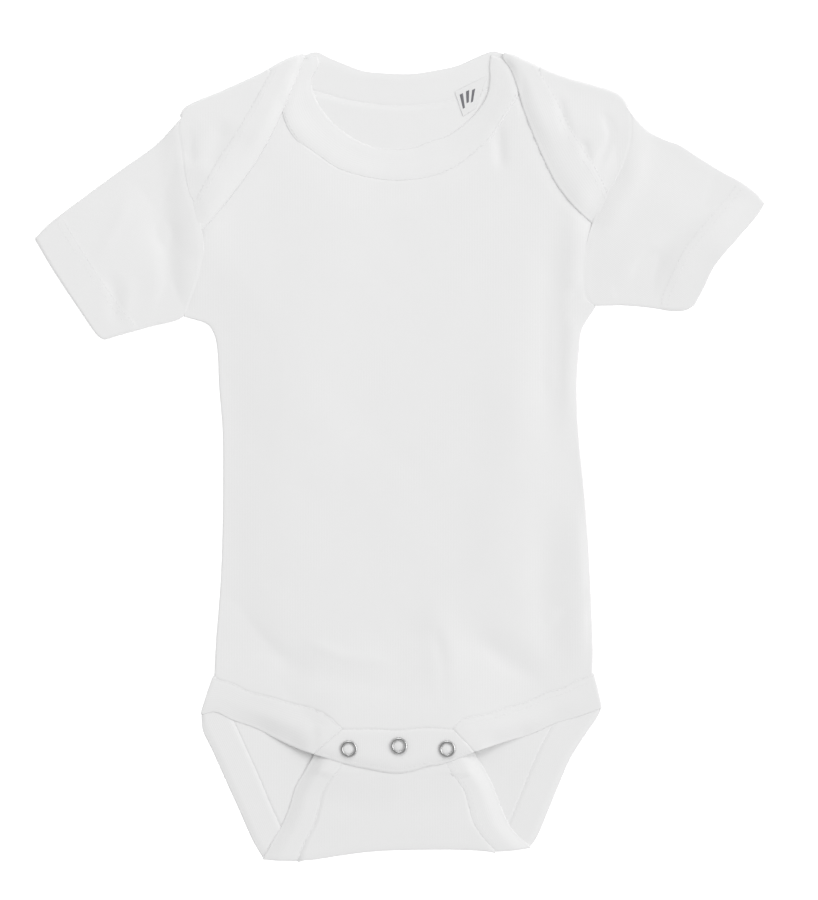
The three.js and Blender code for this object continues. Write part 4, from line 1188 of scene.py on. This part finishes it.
def thread_finish(looks):
    """Spun thread, with its twist."""
    material, shader, add, join = blank("thread")
    shader.inputs["Roughness"].default_value = 0.7
    shader.inputs["Sheen Weight"].default_value = 0.2
    place = add("ShaderNodeTexCoord")
    twist = add("ShaderNodeTexWave", Scale=900.0, Distortion=1.5)
    join(place.outputs["Object"], twist.inputs["Vector"])
    tone = two_tones(add, join, twist, toned(looks.cloth, 0.92), toned(looks.cloth, 1.04))
    join(tone.outputs["Result"], shader.inputs["Base Color"])
    return material


def label_finish(looks):
    """Woven satin tape: very fine ribs and a low sheen."""
    material, shader, add, join = blank("satin_tape")
    shader.inputs["Roughness"].default_value = 0.5
    shader.inputs["Sheen Weight"].default_value = 0.3
    place = add("ShaderNodeTexCoord")
    ribs = add("ShaderNodeTexWave", Scale=1400.0, Distortion=0.3)
    join(place.outputs["Object"], ribs.inputs["Vector"])
    relieved(add, join, shader, ribs.outputs["Fac"], 0.3, 0.00003)
    tone = two_tones(add, join, ribs, toned(looks.label, 1), toned(looks.label, 0.94))
    join(tone.outputs["Result"], shader.inputs["Base Color"])
    return material


def mark_finish(looks):
    """Dark woven marks, a little uneven in tone."""
    material, shader, add, join = blank("label_ink")
    shader.inputs["Roughness"].default_value = 0.8
    place = add("ShaderNodeTexCoord")
    grain = add("ShaderNodeTexNoise", Scale=3000.0, Detail=2.0)
    join(place.outputs["Object"], grain.inputs["Vector"])
    tone = two_tones(add, join, grain, toned(looks.ink, 1), toned(looks.ink, 2.2))
    join(tone.outputs["Result"], shader.inputs["Base Color"])
    return material


def floor_finish(stage):
    """Plain white paper that glows a little."""
    material, shader, add, join = blank("white_paper")
    shader.inputs["Roughness"].default_value = 0.9
    shader.inputs["Specular IOR Level"].default_value = 0.1
    shader.inputs["Emission Color"].default_value = (1, 1, 1, 1)
    shader.inputs["Emission Strength"].default_value = stage.floor_glow
    place = add("ShaderNodeTexCoord")
    grain = add("ShaderNodeTexNoise", Scale=8.0, Detail=2.0)
    join(place.outputs["Object"], grain.inputs["Vector"])
    tone = two_tones(add, join, grain, toned(stage.floor, 1), toned(stage.floor, 0.99))
    join(tone.outputs["Result"], shader.inputs["Base Color"])
    return material


FINISHES = {}
FLOOR = (3.0, 0.0001)  # half its side, and how far it lies below the garment, in metres
SENSOR = 36
DOME_TONES = ((0.0, 0.9), (0.75, 1.0), (0.97, 0.35))  # height in the dome, and brightness there


def plain_knit(looks):
    return knit_finish("cotton_knit", looks, looks.wale, looks.wale * 0.8, 0.00014)


def binding_knit(looks):
    return knit_finish("cotton_binding", looks, looks.wale * 1.3, looks.wale, 0.00012)


def shared(name):
    """A shared material, made the first time that it is asked for."""
    makers = {
        "knit": plain_knit,
        "binding": binding_knit,
        "nickel": metal_finish,
        "thread": thread_finish,
        "tape": label_finish,
        "ink": mark_finish,
    }
    if name not in FINISHES:
        FINISHES[name] = makers[name](bpy.context.scene.bodysuit_looks)
    return FINISHES[name]


class BodysuitLooks(bpy.types.PropertyGroup):
    cloth: bpy.props.FloatVectorProperty(
        name="Cloth", description="Colour of the cotton", subtype="COLOR", size=3, min=0, max=1,
        default=(0.88, 0.88, 0.88),
    )
    metal: bpy.props.FloatVectorProperty(
        name="Snaps", description="Colour of the nickel", subtype="COLOR", size=3, min=0, max=1,
        default=(0.55, 0.55, 0.55),
    )
    label: bpy.props.FloatVectorProperty(
        name="Label", description="Colour of the woven tape", subtype="COLOR", size=3, min=0, max=1,
        default=(0.88, 0.88, 0.88),
    )
    ink: bpy.props.FloatVectorProperty(
        name="Marks", description="Colour of the marks on the label", subtype="COLOR", size=3, min=0, max=1,
        default=(0.12, 0.12, 0.13),
    )
    wale: bpy.props.FloatProperty(
        name="Wale", description="Width of one column of the knit's loops", unit="LENGTH",
        default=0.0009, min=0.0003, max=0.01, precision=5,
    )
    relief: bpy.props.FloatProperty(
        name="Relief", description="Strength of the knit's relief", subtype="FACTOR", min=0, max=1,
        default=0.15,
    )
    sheen: bpy.props.FloatProperty(
        name="Sheen", description="Soft light that the nap catches", subtype="FACTOR", min=0, max=1,
        default=0.15,
    )


class BodysuitStage(bpy.types.PropertyGroup):
    camera_height: bpy.props.FloatProperty(
        name="Camera height", description="Height of the camera over the floor", unit="LENGTH",
        default=2.0,
    )
    view_length: bpy.props.FloatProperty(
        name="View", description="Length of floor along the picture's long side", unit="LENGTH",
        default=0.504,
    )
    centre: bpy.props.FloatVectorProperty(
        name="Centre", description="Point of the floor in the middle of the picture", unit="LENGTH", size=2,
        default=(0.00504, 0.00336),
    )
    floor: bpy.props.FloatVectorProperty(
        name="Floor", description="Colour of the floor", subtype="COLOR", size=3, min=0, max=1,
        default=(0.95, 0.95, 0.95),
    )
    floor_glow: bpy.props.FloatProperty(
        name="Floor glow", description="Light that the floor gives", default=0.5,
    )
    dome: bpy.props.FloatProperty(
        name="Dome", description="Strength of the soft light all round", default=0.72,
    )
    key: bpy.props.FloatProperty(
        name="Key", description="Strength of the soft light from the right", default=1.05,
    )
    top: bpy.props.FloatProperty(
        name="Top", description="Power of the soft light beyond the neck", subtype="POWER", default=14,
    )


def aimed_camera(stage):
    """A camera that looks straight down at the floor."""
    camera = bpy.data.objects.new("camera", bpy.data.cameras.new("camera"))
    bpy.context.scene.collection.objects.link(camera)
    camera.location = (*stage.centre, stage.camera_height)
    camera.data.sensor_width = SENSOR
    camera.data.lens = SENSOR * stage.camera_height / stage.view_length
    bpy.context.scene.camera = camera


def lamp(name, kind, energy):
    light = bpy.data.objects.new(name, bpy.data.lights.new(name, kind))
    bpy.context.scene.collection.objects.link(light)
    light.data.energy = energy
    return light


def soft_dome(stage):
    """Soft light all round, weaker straight above."""
    world = bpy.data.worlds.new("studio")
    world.use_nodes = True
    bpy.context.scene.world = world
    nodes, links = world.node_tree.nodes, world.node_tree.links
    place = nodes.new("ShaderNodeTexCoord")
    split = nodes.new("ShaderNodeSeparateXYZ")
    links.new(place.outputs["Generated"], split.inputs[0])
    ramp = nodes.new("ShaderNodeValToRGB")
    ramp.color_ramp.interpolation = "EASE"
    for position, value in DOME_TONES:
        stop = ramp.color_ramp.elements.new(position)
        stop.color = (value, value, value, 1)
    ramp.color_ramp.elements.remove(ramp.color_ramp.elements[-1])
    ramp.color_ramp.elements.remove(ramp.color_ramp.elements[0])
    links.new(split.outputs["Z"], ramp.inputs[0])
    back = nodes["Background"]
    back.inputs["Strength"].default_value = stage.dome
    links.new(ramp.outputs["Color"], back.inputs["Color"])


class BODYSUIT_OT_stage(bpy.types.Operator):
    """Makes the floor, the soft lights and the camera"""
    bl_idname = "bodysuit.stage"
    bl_label = "Stage"

    def execute(self, context):
        stage = context.scene.bodysuit_stage
        reach, drop = FLOOR
        corners = np.array([(-reach, -reach, 0), (reach, -reach, 0), (reach, reach, 0), (-reach, reach, 0)])
        corners = corners - (0, 0, drop)
        mesh_object("floor", corners, np.array([[0, 1, 2, 3]]), floor_finish(stage))
        aimed_camera(stage)

        key = lamp("key", "SUN", stage.key)
        key.data.angle = math.radians(45)
        key.rotation_euler = (math.radians(-6), math.radians(48), 0)

        top = lamp("top", "AREA", stage.top)
        top.data.size = 1.2
        top.location = (0, 2.0, 2.0)
        top.rotation_euler = (-top.location).to_track_quat("-Z", "Y").to_euler()

        soft_dome(stage)
        context.scene.view_settings.view_transform = "Standard"
        return {"FINISHED"}


class BODYSUIT_OT_front_panel(bpy.types.Operator):
    """Makes the front of the body"""
    bl_idname = "bodysuit.front_panel"
    bl_label = "Front panel"

    def execute(self, context):
        piece = placed(front_panel(shared("knit")), "knit", "front_panel")
        return {"FINISHED"}


class BODYSUIT_OT_back_panel(bpy.types.Operator):
    """Makes the back of the body with its shoulder flaps and crotch tongue"""
    bl_idname = "bodysuit.back_panel"
    bl_label = "Back panel"

    def execute(self, context):
        piece = placed(back_panel(shared("knit")), "knit", "back_panel")
        return {"FINISHED"}


class BODYSUIT_OT_neck_bindings(bpy.types.Operator):
    """Makes the bindings of the front and of the back neck"""
    bl_idname = "bodysuit.neck_bindings"
    bl_label = "Neck bindings"

    def execute(self, context):
        front = strip_piece("front_neck", front_neck_rows(), shared("binding"))
        placed(front, "binding", "front_neck_band")
        rows, walls = back_neck_rows()
        back = strip_piece("back_neck", rows, shared("binding"), walls)
        placed(back, "binding", "back_neck_band")
        return {"FINISHED"}


class BODYSUIT_OT_leg_bindings(bpy.types.Operator):
    """Makes the bindings of the two leg openings"""
    bl_idname = "bodysuit.leg_bindings"
    bl_label = "Leg bindings"

    def execute(self, context):
        for side in LEG:
            piece = strip_piece("leg_" + side, leg_rows(side), shared("binding"))
            placed(piece, "binding", "leg_band_" + side)
        return {"FINISHED"}


class BODYSUIT_OT_snap_band(bpy.types.Operator):
    """Makes the band that carries the snaps"""
    bl_idname = "bodysuit.snap_band"
    bl_label = "Snap band"

    def execute(self, context):
        rows = snap_band_rows()
        cloth = Cloth("snap_band").add(rows, plan_grain(rows), WALLS[:, None])
        piece = placed(cloth.mesh(shared("binding")), "binding", "front_snap_band")
        return {"FINISHED"}


class BODYSUIT_OT_sleeves(bpy.types.Operator):
    """Makes the two sleeves"""
    bl_idname = "bodysuit.sleeves"
    bl_label = "Sleeves"

    def execute(self, context):
        for side in OUTLINE:
            piece = placed(sleeve(side, shared("knit")), "knit", "sleeve_" + side)
        return {"FINISHED"}


class BODYSUIT_OT_snaps(bpy.types.Operator):
    """Makes the three ring snaps and finishes their studs"""
    bl_idname = "bodysuit.snaps"
    bl_label = "Snaps"

    def execute(self, context):
        for name in SNAPS:
            placed(snap_ring(name, shared("nickel")), "snap_metal", "snap_ring_" + name)
            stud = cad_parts["snap_stud_" + name]
            stud.data.materials.clear()
            stud.data.materials.append(shared("nickel"))
        return {"FINISHED"}


def label_level(x, y):
    """The label is curled a little."""
    return LEVEL["label"] + 0.12 * np.sin((x - 30) / 5) + 0.08 * np.sin(y / 4)


class BODYSUIT_OT_size_label(bpy.types.Operator):
    """Makes the small woven label, with plain bars where words would be"""
    bl_idname = "bodysuit.size_label"
    bl_label = "Size label"

    def execute(self, context):
        wide, high = LABEL_STATIONS
        bottom, top = run(LABEL["bottom"], wide), run(LABEL["top"], wide)
        sides = [run([bottom[end], top[end]], high) for end in (0, -1)]
        rows = quilt(bottom, top, *sides, label_level)
        piece = Cloth("woven_label").add(rows, None, TAPE).mesh(shared("tape"))
        placed(piece, "label", "size_label")
        piece.data.set_sharp_from_angle(angle=math.radians(40))
        bars = Cloth("label_marks")
        for across, foot, head in LABEL_BARS:
            i = np.linspace(foot, head, 9) * high
            j = np.array([across - 0.06, across, across + 0.06]) * wide
            picked = rows[np.ix_(np.round(i).astype(int), np.round(j).astype(int))].copy()
            picked[..., 2] += TAPE / 2 + 0.02
            bars.add(picked, None, BAR_WALL)
        placed(bars.mesh(shared("ink")), "label")
        return {"FINISHED"}


TWIN_ROWS = (0.07, 0.22)  # the stitch rows of a binding, as shares of its width from its sewn edge
BAND_ROWS = (0.07, 0.93)  # the same for the snap band
HEM_ROWS = (19.0, 15.5)  # and for a sleeve, in mm from its cuff


class BODYSUIT_OT_stitches(bpy.types.Operator):
    """Sets the twin rows of stitches on the bindings, the snap band and the sleeve hems"""
    bl_idname = "bodysuit.stitches"
    bl_label = "Stitches"

    def execute(self, context):
        thread = shared("thread")
        groups = {
            "stitches_front_neck": (front_neck_rows(), WALLS),
            "stitches_back_neck": back_neck_rows(),
            "stitches_leg_left": (leg_rows("left"), WALLS),
            "stitches_leg_right": (leg_rows("right"), WALLS),
        }
        for name, (rows, walls) in groups.items():
            rows = puckered(rows)
            walls = np.broadcast_to(walls, rows.shape[:2])
            lines = []
            for share in TWIN_ROWS:
                column = int(np.argmin(abs(SHARES - share)))
                lines.append(surface_line(rows, share, walls[:, column, None] / 2))
            placed(stitched(name, [faced_up(*line) for line in lines], thread), "binding")
        for side in OUTLINE:
            upper = sleeve_patches(side)[0]
            lines = []
            for distance in HEM_ROWS:
                line = hem_line(upper, side, distance)
                up = np.tile([0.0, 0.0, 1.0], (len(line), 1))
                lines.append((line + up * SLEEVE["hem_wall"] / 2, up))
            placed(stitched("stitches_hem_" + side, lines, thread), "knit")
        rows = snap_band_rows().transpose(1, 0, 2)
        lines = [faced_up(*surface_line(rows, share, STRIP / 2 - 0.1)) for share in BAND_ROWS]
        placed(stitched("stitches_band", lines, thread), "binding")
        return {"FINISHED"}


def faced_up(line, normal):
    """The same line on the outer face: the side that most of its normals look up from."""
    if normal[:, 2].mean() < 0:
        offset = line - normal
        return offset, -normal
    return line, normal


def hem_line(upper, side, distance):
    """Points on a sleeve's upper layer at one distance from its cuff."""
    far = nearest(upper[..., 0], upper[..., 1], OUTLINE[side]["cuff"])[0]
    line = []
    for column in range(1, upper.shape[1] - 1):
        k = int(np.argmax(far[:, column] < distance))
        t = (far[k - 1, column] - distance) / (far[k - 1, column] - far[k, column])
        line.append(upper[k - 1, column] * (1 - t) + upper[k, column] * t)
    return np.array(line)


class BODYSUIT_PT_panel(bpy.types.Panel):
    """Lists the pieces of the bodysuit"""
    bl_label = "Bodysuit"
    bl_idname = "BODYSUIT_PT_panel"
    bl_space_type = "VIEW_3D"
    bl_region_type = "UI"
    bl_category = "Bodysuit"

    def draw(self, context):
        column = self.layout.column()
        for group in (context.scene.bodysuit_looks, context.scene.bodysuit_stage):
            for key in group.__annotations__:
                column.prop(group, key)
        for piece in PIECES:
            column.operator(piece.bl_idname)


PIECES = (
    BODYSUIT_OT_stage,
    BODYSUIT_OT_front_panel,
    BODYSUIT_OT_back_panel,
    BODYSUIT_OT_neck_bindings,
    BODYSUIT_OT_leg_bindings,
    BODYSUIT_OT_snap_band,
    BODYSUIT_OT_sleeves,
    BODYSUIT_OT_snaps,
    BODYSUIT_OT_size_label,
    BODYSUIT_OT_stitches,
)
CLASSES = (BodysuitLooks, BodysuitStage, *PIECES, BODYSUIT_PT_panel)


def register():
    for each in CLASSES:
        bpy.utils.register_class(each)
    bpy.types.Scene.bodysuit_looks = bpy.props.PointerProperty(type=BodysuitLooks)
    bpy.types.Scene.bodysuit_stage = bpy.props.PointerProperty(type=BodysuitStage)


def unregister():
    del bpy.types.Scene.bodysuit_stage
    del bpy.types.Scene.bodysuit_looks
    for each in reversed(CLASSES):
        bpy.utils.unregister_class(each)


def main():
    register()
    for piece in PIECES:
        group, name = piece.bl_idname.split(".")
        getattr(getattr(bpy.ops, group), name)()


if __name__ == "__main__":
    main()
